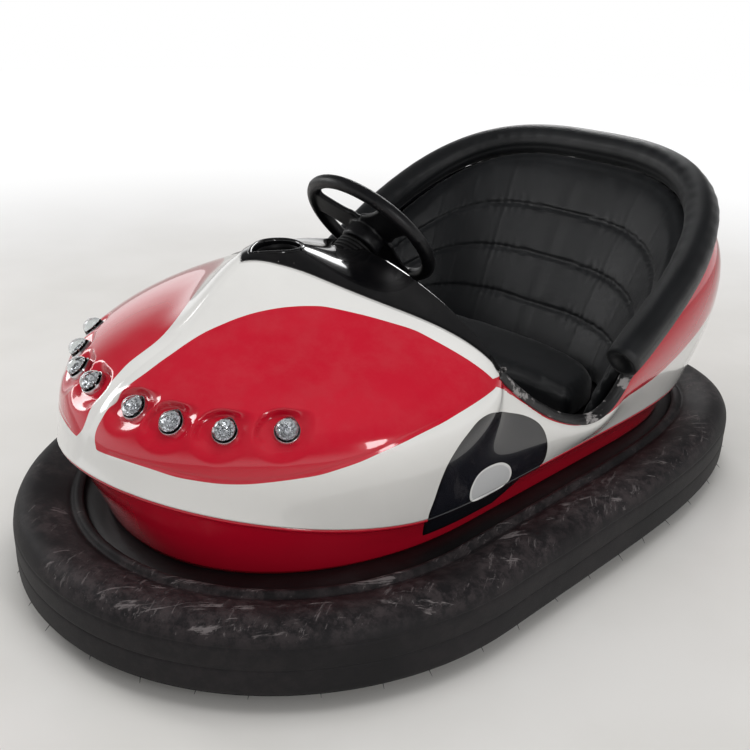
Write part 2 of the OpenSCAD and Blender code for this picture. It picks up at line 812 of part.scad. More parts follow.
// Collar on the column, with a stay up to the underside of the cowl
stay_r = 12;
stay_v = 0.94;
stay_end = skin(0, stay_v) + (cowl_proud - shell_t - seam - stay_r) * skin_normal(0, stay_v)
  - [0, wheel_y, wheel_z];
column_dir = [0, sin(column_tilt), cos(column_tilt)];
stay_along = stay_end * column_dir;
stay_l = norm(stay_end - stay_along * column_dir);
module column_bracket() {
  color("#1c1d20")
    on_column(stay_along)
      difference() {
        union() {
          cylinder(r = column_r + 9, h = 2 * stay_r + 4, center = true, $fn = 48);
          rotate([90, 0, 0])
            cylinder(r = stay_r, h = stay_l, $fn = 48);
          translate([0, -stay_l, 0])
            sphere(r = stay_r, $fn = 48);
        }
        cylinder(r = column_r + play, h = 2 * stay_r + 6, center = true, $fn = 48);
      }
}

// Ribbed rubber boot in the cowl's notch, under the steering wheel's bell
module column_boot() {
  ribs = 4;
  h = -bell_h - run_gap - boot_low;
  rib_low = notch_r - 2;
  color("#17181a")
    on_column(boot_low)
      rotate_extrude($fn = 64)
        polygon(concat(
          [[column_r + seam, -4], [rib_low - 4, -4]],
          [for (i = [0 : 2 * ribs])
            [mix(rib_low, bell_r - 2, i / (2 * ribs)) - (i % 2 == 0 ? 4 : 0), h * i / (2 * ribs)]],
          [[column_r + seam, h]]));
}

// Single floor pedal on its hinge block
module foot_pedal() {
  color("#2b2d30")
    translate([-60, drive_y + 225, floor_top]) {
      cube([120, 26, 30]);
      translate([0, 4, 22])
        rotate([-48, 0, 0])
          translate([0, -6, 0])
            cube([120, 10, 120]);
    }
}

module rear_axle_pins() {
  color("#8d9095")
    for (side = [-1, 1])
      translate([side * (bracket_x[0] - 3), rear_y, rear_r])
        rotate([0, side * 90, 0]) {
          cylinder(r = pin_r, h = bracket_x[1] - bracket_x[0] + plate_t + 8, $fn = 48);
          translate([0, 0, -7])
            cylinder(r = pin_r + 6, h = 10 - seam, $fn = 48);
        }
}

module rear_hub(side) {
  color("#9a9da1")
    translate([side * rear_x, rear_y, rear_r])
      rotate([0, 90, 0])
        difference() {
          union() {
            cylinder(r = rear_hub_r, h = rear_w - 14, center = true, $fn = 64);
            cylinder(r = pin_r + 9, h = rear_w, center = true, $fn = 48);
          }
          cylinder(r = pin_r + play, h = rear_w + 2, center = true, $fn = 48);
        }
}

module rear_tyre(side) {
  color("#1b1b1d")
    translate([side * rear_x, rear_y, rear_r])
      rotate([0, 90, 0])
        wheel_tyre(rear_r, rear_hub_r, rear_w);
}

// Solid rubber tyre with rounded shoulders
module wheel_tyre(r, bore, w) {
  round = w * 0.22;
  rotate_extrude($fn = 96)
    difference() {
      union() {
        translate([bore, -w / 2])
          square([r - bore - round, w]);
        translate([bore, -w / 2 + round])
          square([r - bore, w - 2 * round]);
        for (z = [-w / 2 + round, w / 2 - round])
          translate([r - round, z])
            circle(r = round, $fn = 32);
      }
      translate([-1, -w])
        square([bore + 1, 2 * w]);
    }
}

// Yoke of the drive wheel: crown plate, two legs, stub axle and the upright shaft
leg_t = 9;
leg_x = drive_w / 2 + run_gap;
module swivel_fork() {
  color("#55585d")
    translate([0, drive_y, 0]) {
      translate([0, 0, fork_top - 12])
        cylinder(r = motor_r + 2, h = 12, $fn = 64);
      for (side = [-1, 1])
        translate([side > 0 ? leg_x : -leg_x - leg_t, -26, drive_r - 26])
          cube([leg_t, 52, fork_top - drive_r + 20]);
      translate([0, 0, drive_r])
        rotate([0, 90, 0])
          cylinder(r = drive_axle_r, h = 2 * (leg_x + leg_t) + 10, center = true, $fn = 48);
    }
}

module drive_motor() {
  color("#6a6d71")
    translate([0, drive_y, fork_top]) {
      cylinder(r = motor_r, h = motor_h, $fn = 64);
      translate([0, 0, motor_h])
        cylinder(r = king_r, h = king_top - motor_top, $fn = 48);
    }
}

module drive_hub() {
  color("#8c8f93")
    translate([0, drive_y, drive_r])
      rotate([0, 90, 0])
        difference() {
          union() {
            cylinder(r = drive_hub_r, h = drive_w - 16, center = true, $fn = 64);
            cylinder(r = drive_axle_r + 10, h = drive_w, center = true, $fn = 48);
          }
          cylinder(r = drive_axle_r + play, h = drive_w + 2, center = true, $fn = 48);
        }
}

module drive_tyre() {
  color("#1b1b1d")
    translate([0, drive_y, drive_r])
      rotate([0, 90, 0])
        wheel_tyre(drive_r, drive_hub_r, drive_w);
}

ring_r = wheel_r - rim_r;
module steering_rim() {
  color("#16171a")
    on_column(0)
      rotate_extrude($fn = 96)
        translate([ring_r, 0])
          circle(r = rim_r, $fn = 32);
}

// Three broad spokes that run down from the rim to the hub bell
module steering_spokes() {
  color("#191a1d")
    on_column(0)
      difference() {
        union() {
          translate([0, 0, -bell_h])
            cylinder(r1 = bell_r, r2 = bell_r - 4, h = bell_h, $fn = 64);
          for (a = [90, 210, 330])
            rotate([0, 0, a])
              translate([bell_r - 16, -30, -10])
                cube([ring_r - bell_r + 16, 60, 12]);
        }
        rotate_extrude($fn = 96)
          translate([ring_r, 0])
            circle(r = rim_r + 0.01, $fn = 32);
        translate([0, 0, -bell_h - 1])
          cylinder(r = shaft_r + play, h = bell_h - 20, $fn = 48);
      }
}

module steering_shaft() {
  color("#9a9da1")
    on_column(column_low + 40)
      cylinder(r = shaft_r, h = -22 - column_low - 40, $fn = 48);
}

bumper_tyre();
bumper_hoop();
deck_ring();
frame_rails();
frame_crossbars();
wheel_brackets();
floor_plate();
lower_skirt();
hood_shell();
tail_shell();
dash_cowl();
cowl_bezel();
cowl_well();
sill_trim();
lamp_cups(1);  // lamp_cups_left
lamp_cups(-1);  // lamp_cups_right
lamp_lenses(1);  // lamp_lenses_left
lamp_lenses(-1);  // lamp_lenses_right
rim_roll();
seat_back_pad();
seat_cushion();
seat_base();
battery_block();
swivel_mount();
column_tube();
column_bracket();
column_boot();
foot_pedal();
rear_axle_pins();
swivel_fork();
drive_motor();
drive_hub();
drive_tyre();
rear_hub(1);  // rear_hub_left
rear_tyre(1);  // rear_tyre_left
rear_hub(-1);  // rear_hub_right
rear_tyre(-1);  // rear_tyre_right
steering_rim();
steering_spokes();
steering_shaft();
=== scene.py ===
import math

import bpy
import numpy as np
from mathutils import Matrix, Vector
from mathutils.kdtree import KDTree


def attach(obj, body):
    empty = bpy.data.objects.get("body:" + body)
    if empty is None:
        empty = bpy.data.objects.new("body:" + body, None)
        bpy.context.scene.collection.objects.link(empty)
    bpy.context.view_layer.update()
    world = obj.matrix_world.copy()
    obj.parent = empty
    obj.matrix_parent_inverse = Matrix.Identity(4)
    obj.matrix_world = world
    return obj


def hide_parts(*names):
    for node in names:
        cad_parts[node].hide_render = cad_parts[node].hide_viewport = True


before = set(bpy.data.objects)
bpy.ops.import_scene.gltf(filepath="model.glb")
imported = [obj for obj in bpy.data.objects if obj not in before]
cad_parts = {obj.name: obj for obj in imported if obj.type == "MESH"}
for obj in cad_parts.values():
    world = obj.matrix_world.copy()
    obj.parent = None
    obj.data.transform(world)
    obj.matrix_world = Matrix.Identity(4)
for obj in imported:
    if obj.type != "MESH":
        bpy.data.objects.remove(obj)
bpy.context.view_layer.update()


# Camera. It stands at the car's front left, a little over a metre above the floor, and
# looks down over the hood, rolled by under two degrees as the photograph is.
camera = bpy.data.objects.new("camera", bpy.data.cameras.new("camera"))
film_mm, focal_px, picture_px = 36, 984.95, 750
camera.data.lens = film_mm * focal_px / picture_px
camera.data.clip_start = 0.05
camera_at = (1.5536, -1.6478, 1.3047)
yaw, dip, roll = math.radians(-44.90), math.radians(23.70), math.radians(-1.639)
ahead = Vector((math.sin(yaw) * math.cos(dip), math.cos(yaw) * math.cos(dip), -math.sin(dip)))
level = Vector((math.cos(yaw), -math.sin(yaw), 0))
below = ahead.cross(level)
across = math.cos(roll) * level + math.sin(roll) * below
down = math.cos(roll) * below - math.sin(roll) * level
stance = Matrix((across, -down, -ahead)).transposed().to_4x4()
camera.matrix_world = Matrix.Translation(camera_at) @ stance
bpy.context.scene.collection.objects.link(camera)
bpy.context.scene.camera = camera
bpy.context.scene.view_settings.view_transform = "Standard"


# Studio. A pale floor under soft light: one broad lamp overhead, tall window-like lamps
# at both flanks and behind, and a white surround that shows only where it is looked at.
def tone(hexed):
    """A colour written as six hex digits, as the linear values that shaders take."""
    parts = [int(hexed[i:i + 2], 16) / 255 for i in (0, 2, 4)]
    linear = [p / 12.92 if p <= 0.04045 else ((p + 0.055) / 1.055) ** 2.4 for p in parts]
    return (*linear, 1.0)


def feed(tree, socket, value):
    """Gives a socket a value, or joins it to another node's output."""
    if isinstance(value, bpy.types.NodeSocket):
        tree.links.new(value, socket)
    elif value is not None:
        socket.default_value = value


def add(tree, kind, sockets=None, **settings):
    """A shader node with its settings and its inputs, named or numbered."""
    node = tree.nodes.new(kind)
    for name, value in settings.items():
        setattr(node, name, value)
    for name, value in (sockets or {}).items():
        feed(tree, node.inputs[name], value)
    return node


def reckon(tree, operation, *values):
    """The result of one Math node."""
    node = add(tree, "ShaderNodeMath", dict(enumerate(values)), operation=operation)
    return node.outputs[0]


def spread(tree, value, low, high, start=0.0, end=1.0):
    """value from low to high, eased and mapped to start to end."""
    node = add(tree, "ShaderNodeMapRange", {0: value, 1: low, 2: high, 3: start, 4: end},
               interpolation_type="SMOOTHSTEP")
    return node.outputs[0]


def product(tree, first, second):
    """Two values multiplied."""
    return reckon(tree, "MULTIPLY", first, second)


def scaled(tree, value, by, plus):
    """value times by, plus a third."""
    return reckon(tree, "MULTIPLY_ADD", value, by, plus)


def blended(tree, share, first, second):
    """Two colours mixed by a share."""
    node = add(tree, "ShaderNodeMix", {0: share, 6: first, 7: second}, data_type="RGBA")
    return node.outputs[2]


def object_place(tree):
    """Places in the object's own frame, in metres."""
    return add(tree, "ShaderNodeTexCoord").outputs["Object"]


def noise(tree, place, scale, detail, roughness=0.5, output=0):
    """Cloudy values round a half."""
    return add(tree, "ShaderNodeTexNoise", {"Vector": place, "Scale": scale, "Detail": detail,
                                           "Roughness": roughness}).outputs[output]


def finish_of(name, surface, height, lift, reach):
    """Ends a material: the sockets of its one Principled BSDF, and a height that one Bump node lifts."""
    tree = bpy.data.materials[name + "_finish"].node_tree
    bump = add(tree, "ShaderNodeBump", {"Strength": lift, "Distance": reach, "Height": height})
    shader = add(tree, "ShaderNodeBsdfPrincipled", surface | {"Normal": bump.outputs[0]})
    tree.links.new(shader.outputs[0], add(tree, "ShaderNodeOutputMaterial").inputs[0])


def fresh(name):
    """An empty node tree of a new material."""
    made = bpy.data.materials.new(name + "_finish")
    made.use_nodes = True
    made.node_tree.nodes.clear()
    return made.node_tree


tree = fresh("pale_floor")
place = object_place(tree)
cloudy = noise(tree, place, 1.7, 6.0)
grit = noise(tree, place, 160.0, 3.0)
ground = blended(tree, spread(tree, cloudy, 0.3, 0.7), tone("dedcd8"), tone("e6e4e1"))
distance = add(tree, "ShaderNodeVectorMath", {0: place}, operation="LENGTH").outputs["Value"]
seen = add(tree, "ShaderNodeLightPath").outputs["Is Camera Ray"]
far_seen = product(tree, spread(tree, distance, 1.5, 4.2), seen)
no_light, full_white = (0, 0, 0, 1), (1, 1, 1, 1)
surface = {"Base Color": blended(tree, far_seen, ground, no_light), "Roughness": 0.7,
           "Specular IOR Level": 0.15, "Emission Strength": 1.0,
           "Emission Color": blended(tree, far_seen, no_light, full_white)}
finish_of("pale_floor", surface, grit, 0.15, 0.0006)
floor_r, floor_sides, floor_gap = 9.0, 96, 0.0005
floor_mesh = bpy.data.meshes.new("floor")
floor_mesh.from_pydata([(floor_r * math.cos(a), floor_r * math.sin(a), -floor_gap)
                        for a in np.linspace(0, 2 * math.pi, floor_sides, endpoint=False)], [],
                       [list(range(floor_sides))])
floor = bpy.data.objects.new("floor", floor_mesh)
floor.data.materials.append(bpy.data.materials["pale_floor_finish"])
bpy.context.scene.collection.objects.link(floor)

world = bpy.data.worlds.new("surround")
bpy.context.scene.world = world
world.use_nodes = True
tree = world.node_tree
tree.nodes.clear()
rays = add(tree, "ShaderNodeLightPath").outputs
seen = reckon(tree, "MAXIMUM", rays["Is Camera Ray"], rays["Is Transmission Ray"])
seen = reckon(tree, "MAXIMUM", seen, rays["Is Glossy Ray"])
direction = add(tree, "ShaderNodeTexCoord").outputs["Generated"]
height = add(tree, "ShaderNodeSeparateXYZ", {0: direction}).outputs[2]
sky = spread(tree, height, 0.02, 0.42, 1.0, 0.10)
strength = add(tree, "ShaderNodeMapRange", {0: seen, 3: 0.5, 4: sky}).outputs[0]
surround = add(tree, "ShaderNodeBackground", {"Color": full_white, "Strength": strength})
tree.links.new(surround.outputs[0], add(tree, "ShaderNodeOutputWorld").inputs[0])


def softbox(name, at, towards, wide, tall, watts):
    """A flat lamp of a size, aimed at a point."""
    lamp = bpy.data.lights.new(name, "AREA")
    lamp.shape = "RECTANGLE"
    lamp.size, lamp.size_y, lamp.energy = wide, tall, watts
    made = bpy.data.objects.new(name, lamp)
    made.matrix_world = Matrix.Translation(at) @ (
        Vector(towards) - Vector(at)).to_track_quat("-Z", "Y").to_matrix().to_4x4()
    bpy.context.scene.collection.objects.link(made)
    return made


softbox("overhead", (0.6, -0.6, 3.6), (0, 0, 0.3), 2.2, 2.2, 46).visible_glossy = False
softbox("window_left", (3.2, -1.0, 1.7), (0, 0, 0.4), 0.45, 1.0, 18)
softbox("window_right", (-3.0, -1.6, 1.9), (0, 0, 0.5), 0.9, 1.3, 26)
softbox("window_rear", (-1.8, 3.0, 2.2), (0, 0, 0.6), 1.4, 1.1, 30)


# Bumper tyre. One moulded ring of black rubber that is stretched round a steel hoop. It
# is dull and dusty, with mould lines round its wall and a raised ridge on its shoulder.
def mesh_piece(name, points, faces, material, body="car", smooth=True, marks=None):
    """A mesh in millimetres that rides on a body. marks are values kept at its points."""
    mesh = bpy.data.meshes.new(name)
    mesh.from_pydata((np.asarray(points, float).reshape(-1, 3) / 1000).tolist(), [],
                     [list(map(int, f)) for f in faces])
    mesh.polygons.foreach_set("use_smooth", [smooth] * len(mesh.polygons))
    for label, values in (marks or {}).items():
        held = mesh.attributes.new(label, "FLOAT", "POINT")
        held.data.foreach_set("value", np.asarray(values, np.float32).ravel())
    made = bpy.data.objects.new(name, mesh)
    made.data.materials.append(bpy.data.materials[material + "_finish"])
    bpy.context.scene.collection.objects.link(made)
    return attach(made, body)


def net(rows, columns, ring_rows=False, ring_columns=False):
    """Four-cornered faces over rows of points, joined up at the ends where it is a ring."""
    j, i = np.meshgrid(np.arange(rows - (not ring_rows)), np.arange(columns - (not ring_columns)),
                       indexing="ij")
    below_j, right_i = (j + 1) % rows, (i + 1) % columns
    corners = [j * columns + i, j * columns + right_i,
               below_j * columns + right_i, below_j * columns + i]
    return np.stack([c.ravel() for c in corners], -1)


# Stations along half an outline: the nose is 0, then the door's front, the seat's arm, and the tail is 1
door_at, arm_at = 0.42, 0.56
door_y, arm_y = -205.0, 215.0


def ease(k):
    """A share of the way, slow at both ends."""
    k = np.clip(k, 0, 1)
    return k * k * (3 - 2 * k)


def between(a, b, k):
    """The place at a share of the way from a to b."""
    return a + (b - a) * k


def power(v, p):
    """v to a power, with nothing below zero."""
    return np.clip(v, 0, None) ** p


def wrapped(s):
    """A station brought back between -1 and 1."""
    return np.where(s > 1, s - 2, np.where(s < -1, s + 2, s))


def outline(s, form):
    """Points of a plan outline: a rounded nose, a straight flank and a rounded tail.

    form is the half-width, the nose's tip, end and power, and the tail's start, tip and power.
    """
    half, nose, nose_end, nose_power, tail_start, tail, tail_power = form
    s = wrapped(np.asarray(s, float))
    u = np.abs(s)
    a = np.clip(u / door_at, 0, 1) * math.pi / 2
    c = np.clip((u - arm_at) / (1 - arm_at), 0, 1) * math.pi / 2
    k = (u - door_at) / (arm_at - door_at)
    x = np.where(u <= door_at, half * power(np.sin(a), 2 / nose_power),
                 np.where(u <= arm_at, half, half * power(np.cos(c), 2 / tail_power)))
    y = np.where(u <= door_at, nose_end + (nose - nose_end) * power(np.cos(a), 2 / nose_power),
                 np.where(u <= arm_at, between(nose_end, tail_start, k),
                          tail_start + (tail - tail_start) * power(np.sin(c), 2 / tail_power)))
    return np.where(s < 0, -x, x), y


def outward(s, form):
    """Level direction square to an outline, away from its middle."""
    x1, y1 = outline(s + 0.002, form)
    x0, y0 = outline(s - 0.002, form)
    long = np.hypot(x1 - x0, y1 - y0)
    return (y1 - y0) / long, -(x1 - x0) / long


def even_stations(form, count):
    """Stations that divide a whole outline into even steps."""
    s = np.linspace(-1, 1, 4001)
    x, y = outline(s, form)
    run = np.concatenate([[0], np.cumsum(np.hypot(np.diff(x), np.diff(y)))])
    return np.interp(np.linspace(0, run[-1], count + 1)[:-1], run, s)


def curve_through(points, steps=8, closed=False):
    """A smooth line through points, as many steps between each two."""
    p = np.asarray(points, float)
    before, after = (p[-1:], p[:2]) if closed else (2 * p[:1] - p[1:2], 2 * p[-1:] - p[-2:-1])
    q = np.vstack([before, p, after])
    t = np.linspace(0, 1, steps, endpoint=False)[:, None]
    parts = []
    for a, b, c, d in zip(q, q[1:], q[2:], q[3:]):
        parts.append(0.5 * (2 * b + (c - a) * t + (2 * a - 5 * b + 4 * c - d) * t * t
                            + (3 * b - a - 3 * c + d) * t ** 3))
    return np.vstack(parts if closed else parts + [p[-1:]])


bumper_form = (622.0, -975.0, -309.0, 2.02, -5.0, 975.0, 3.23)
# Section: depth from the outer wall, height above the floor
tyre_section = curve_through([
    (16, 45), (6, 46), (1, 51), (0, 62), (-0.5, 80), (0, 99), (1.6, 103.5), (0.2, 108), (0, 128),
    (0.5, 145), (2.6, 150.5), (2.2, 155), (6, 164), (13, 175), (22, 182.5), (33, 187.5), (46, 190.5),
    (60, 190.5), (76, 188), (92, 184), (106, 179), (114, 175), (119.5, 171.5), (123, 170.8),
    (127, 173), (131.5, 177.5), (136, 179.8), (141, 180), (146, 177.5), (149.5, 172), (150, 164),
    (150, 120), (150, 60), (146, 49), (138, 45)], 3, closed=True)
tyre_columns = 560
tyre_stations = even_stations(bumper_form, tyre_columns)


def band_points(form, stations, section):
    """A section carried round an outline: rows of the section's points by columns of stations."""
    x, y = outline(stations, form)
    nx, ny = outward(stations, form)
    depth, height = section[:, :1], section[:, 1:]
    return np.stack([x - depth * nx, y - depth * ny, height + 0 * x], -1)


def effect(name, inputs, outputs):
    """A new shader group with named inputs and outputs, and its two end nodes."""
    group = bpy.data.node_groups.new(name, "ShaderNodeTree")
    for label, kind, value in inputs:
        socket = group.interface.new_socket(label, in_out="INPUT", socket_type="NodeSocket" + kind)
        if value is not None:
            socket.default_value = value
    for label, kind in outputs:
        group.interface.new_socket(label, in_out="OUTPUT", socket_type="NodeSocket" + kind)
    return group, add(group, "NodeGroupInput").outputs, add(group, "NodeGroupOutput").inputs


def use(tree, name, **sockets):
    """A shader group placed in a material with its own values."""
    node = tree.nodes.new("ShaderNodeGroup")
    node.node_tree = bpy.data.node_groups[name]
    for label, value in sockets.items():
        feed(tree, node.inputs[label.replace("_", " ")], value)
    return node.outputs


group, given, result = effect("scratches", [("Place", "Vector", None), ("Scale", "Float", 20.0),
                                            ("Share", "Float", 0.5), ("Angle", "Float", 0.0)],
                              [("Mask", "Float")])
swung = add(group, "ShaderNodeVectorRotate", {"Vector": given["Place"], "Angle": given["Angle"]})
drawn_out = add(group, "ShaderNodeVectorMath", {0: swung.outputs[0], 1: (1.0, 0.09, 0.6)},
                operation="MULTIPLY")
wavering = noise(group, given["Place"], 9.0, 2.0, output="Color")
bent = add(group, "ShaderNodeVectorMath", {0: wavering, 1: (0.03, 0.03, 0.03), 2: drawn_out.outputs[0]},
           operation="MULTIPLY_ADD")
strands = noise(group, bent.outputs[0], given["Scale"], 7.0, 0.72)
limit = reckon(group, "SUBTRACT", 0.78, product(group, given["Share"], 0.34))
feed(group, result["Mask"], spread(group, strands, limit, reckon(group, "ADD", limit, 0.06)))

group, given, result = effect("settled_dust", [("Place", "Vector", None), ("Amount", "Float", 0.5),
                                               ("Scale", "Float", 6.0)], [("Mask", "Float")])
normal = add(group, "ShaderNodeNewGeometry").outputs["Normal"]
facing = add(group, "ShaderNodeSeparateXYZ", {0: normal}).outputs[2]
drift = noise(group, given["Place"], given["Scale"], 8.0, 0.66)
lying = product(group, spread(group, facing, -0.1, 0.9), spread(group, drift, 0.34, 0.72))
feed(group, result["Mask"], product(group, lying, given["Amount"]))

group, given, result = effect("fine_grit", [("Place", "Vector", None), ("Scale", "Float", 400.0)],
                              [("Height", "Float")])
coarse = noise(group, given["Place"], given["Scale"], 4.0)
broad = noise(group, given["Place"], product(group, given["Scale"], 0.12), 3.0)
feed(group, result["Height"], scaled(group, broad, 0.6, coarse))

tree = fresh("bumper_rubber")
place = object_place(tree)
parts = add(tree, "ShaderNodeSeparateXYZ", {0: place}).outputs
patchy = noise(tree, place, 3.1, 5.0, 0.6)
shoulder = spread(tree, parts[2], 0.145, 0.185)
side_patch = product(tree, spread(tree, parts[0], 0.2, 0.5), spread(tree, parts[1], -0.5, 0.35))
side_patch = product(tree, side_patch, shoulder)
patch = product(tree, spread(tree, patchy, 0.44, 0.58), scaled(tree, shoulder, 0.8, 0.2))
patch = reckon(tree, "MAXIMUM", patch, product(tree, side_patch, spread(tree, patchy, 0.36, 0.52)))
worn = scaled(tree, patch, 0.5, 0.14)
rubbed = use(tree, "scratches", Place=place, Scale=44.0, Share=worn, Angle=0.6)["Mask"]
scraped = use(tree, "scratches", Place=place, Scale=110.0, Share=worn, Angle=-0.5)["Mask"]
marks = reckon(tree, "MAXIMUM", rubbed, product(tree, scraped, 0.6))
dusty = use(tree, "settled_dust", Place=place, Amount=0.10, Scale=5.0)["Mask"]
speckled = noise(tree, place, 38.0, 8.0, 0.75)
dusty = scaled(tree, product(tree, patch, spread(tree, speckled, 0.40, 0.62)), 0.5, dusty)
base = blended(tree, spread(tree, patchy, 0.3, 0.7), tone("121113"), tone("1b191b"))
base = blended(tree, dusty, base, tone("4a4243"))
base = blended(tree, product(tree, marks, 0.34), base, tone("a39b9b"))
grit = use(tree, "fine_grit", Place=place, Scale=420.0)["Height"]
rough = scaled(tree, marks, 0.2, scaled(tree, grit, 0.08, 0.52))
high = scaled(tree, marks, 0.8, grit)
finish_of("bumper_rubber", {"Base Color": base, "Roughness": rough, "Specular IOR Level": 0.22},
          high, 0.35, 0.0012)

ring = band_points(bumper_form, tyre_stations, tyre_section)
dents = np.random.default_rng(7)
angle = np.linspace(0, 2 * math.pi, tyre_columns, endpoint=False)
wave = sum(dents.uniform(0.1, 0.55) * np.sin(n * angle + dents.uniform(0, 6.3))
           for n in (3, 5, 8, 13, 21, 34))
wall_top = 100
ring[..., 2] += np.where(ring[..., 2] > wall_top, wave * 0.8, 0)
bumper = mesh_piece("bumper_tyre_skin", ring, net(len(tyre_section), tyre_columns, True, True),
                    "bumper_rubber")
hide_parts("bumper_tyre")


# Deck. A flat black ledge of sheet steel between the tyre and the shell, walked on and
# scraped at its edge, which lies on the hoop and runs in under the shell.
skirt_form = (418.0, -771.0, door_y, 2.15, arm_y, 771.0, 3.6)
tree = fresh("deck_black")
place = object_place(tree)
patchy = noise(tree, place, 4.0, 6.0)
trodden = spread(tree, patchy, 0.45, 0.7, 0.05, 0.45)
scraped = use(tree, "scratches", Place=place, Scale=70.0, Share=trodden, Angle=1.0)
dusty = use(tree, "settled_dust", Place=place, Amount=0.10, Scale=9.0)["Mask"]
base = blended(tree, patchy, tone("09090a"), tone("100f11"))
base = blended(tree, dusty, base, tone("4a4546"))
base = blended(tree, product(tree, scraped["Mask"], 0.35), base, tone("7b7475"))
grit = use(tree, "fine_grit", Place=place, Scale=300.0)["Height"]
finish_of("deck_black", {"Base Color": base, "Specular IOR Level": 0.35,
                        "Roughness": scaled(tree, grit, 0.15, 0.38)}, grit, 0.25, 0.0008)
deck_z, tyre_deep, foot_tuck = 166.0, 149.7, 30.0
deck_columns = 360
deck_stations = even_stations(bumper_form, deck_columns)
x1, y1 = outline(deck_stations, bumper_form)
nx, ny = outward(deck_stations, bumper_form)
x0, y0 = outline(deck_stations, skirt_form)
mx, my = outward(deck_stations, skirt_form)
rim_x, rim_y = x1 - tyre_deep * nx, y1 - tyre_deep * ny
foot_x, foot_y = x0 - foot_tuck * mx, y0 - foot_tuck * my
# Section: share of the way in from the tyre, height under the deck's face
deck_section = [(0.0, 8.0), (0.0, 1.4), (0.012, 0.0), (0.5, 0.4), (0.985, 0.0), (1.0, 1.5), (1.0, 8.0)]
layers = [np.stack([between(rim_x, foot_x, share), between(rim_y, foot_y, share),
                    np.full(deck_columns, deck_z - low)], -1) for share, low in deck_section]
deck = mesh_piece("deck_ledge", np.stack(layers), net(len(layers), deck_columns, True, True),
                  "deck_black")
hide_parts("deck_ring")


# Lower moulding. The red foot of the glass-fibre body stands on the deck. It curves in
# from the deck, and a rolled red bead closes it under the belt's lip.
lip_form = (468.0, -879.0, door_y, 2.05, arm_y, 846.0, 3.27)
lip_nose = lip_form[1]
sill_low, rise_all = 262.0, 112.0


def lip_height(y):
    """Height of the belt's lip at a place along the car."""
    return sill_low + rise_all * np.clip((door_y - 175 - y) / (door_y - 175 - lip_nose), 0, 1) ** 1.4


def line_distance(points, line):
    """Distance of each point from a line of straight pieces, and nothing else."""
    points = np.asarray(points, float).reshape(-1, points.shape[-1])
    best = np.full(len(points), 1e9)
    for a, b in zip(line[:-1], line[1:]):
        along = b - a
        k = np.clip((points - a) @ along / max(along @ along, 1e-12), 0, 1)
        best = np.minimum(best, np.linalg.norm(points - a - k[:, None] * along, axis=1))
    return best


def within(points, loop):
    """Which flat points lie inside a closed loop."""
    x, y = points[..., 0].ravel(), points[..., 1].ravel()
    inside = np.zeros(len(x), bool)
    for (ax, ay), (bx, by) in zip(loop, np.roll(loop, -1, axis=0)):
        if ay != by:
            crosses = (ay > y) != (by > y)
            inside ^= crosses & (x < (bx - ax) * (y - ay) / (by - ay) + ax)
    return inside


# Painted wheel on the flank, seen from the side: place along the car, height
wheel_front = [(-352, 190), (-364, 230), (-383, 262), (-383, 313), (-384, 361), (-380, 405),
               (-365, 439), (-344, 460), (-314, 477), (-275, 479), (-232, 464), (-188, 445),
               (-140, 424), (-98, 399), (-70, 372), (-50, 337), (-35, 298), (-29, 267), (-40, 250),
               (-62, 228), (-96, 205), (-140, 188)]
hub_leaf = [(-240, 254), (-262, 259), (-273, 272), (-279, 299), (-271, 327), (-249, 338), (-213, 337),
            (-184, 327), (-158, 306), (-146, 281), (-152, 262), (-176, 254), (-208, 251)]
wheel_loop = curve_through(wheel_front, 4)
hub_loop = curve_through(hub_leaf, 4, closed=True)


def side_marks(points):
    """How far inside the painted wheel and inside its hub each point lies, in millimetres."""
    flat = np.asarray(points, float).reshape(-1, 3)[:, 1:]
    found = []
    for loop in (wheel_loop, hub_loop):
        ring = np.vstack([loop, loop[:1]])
        away = line_distance(flat, ring)
        found.append(np.where(within(flat, loop), away, -away))
    return found


def mark(tree, name):
    """A value kept at the mesh's points."""
    return add(tree, "ShaderNodeAttribute", attribute_name=name).outputs["Fac"]


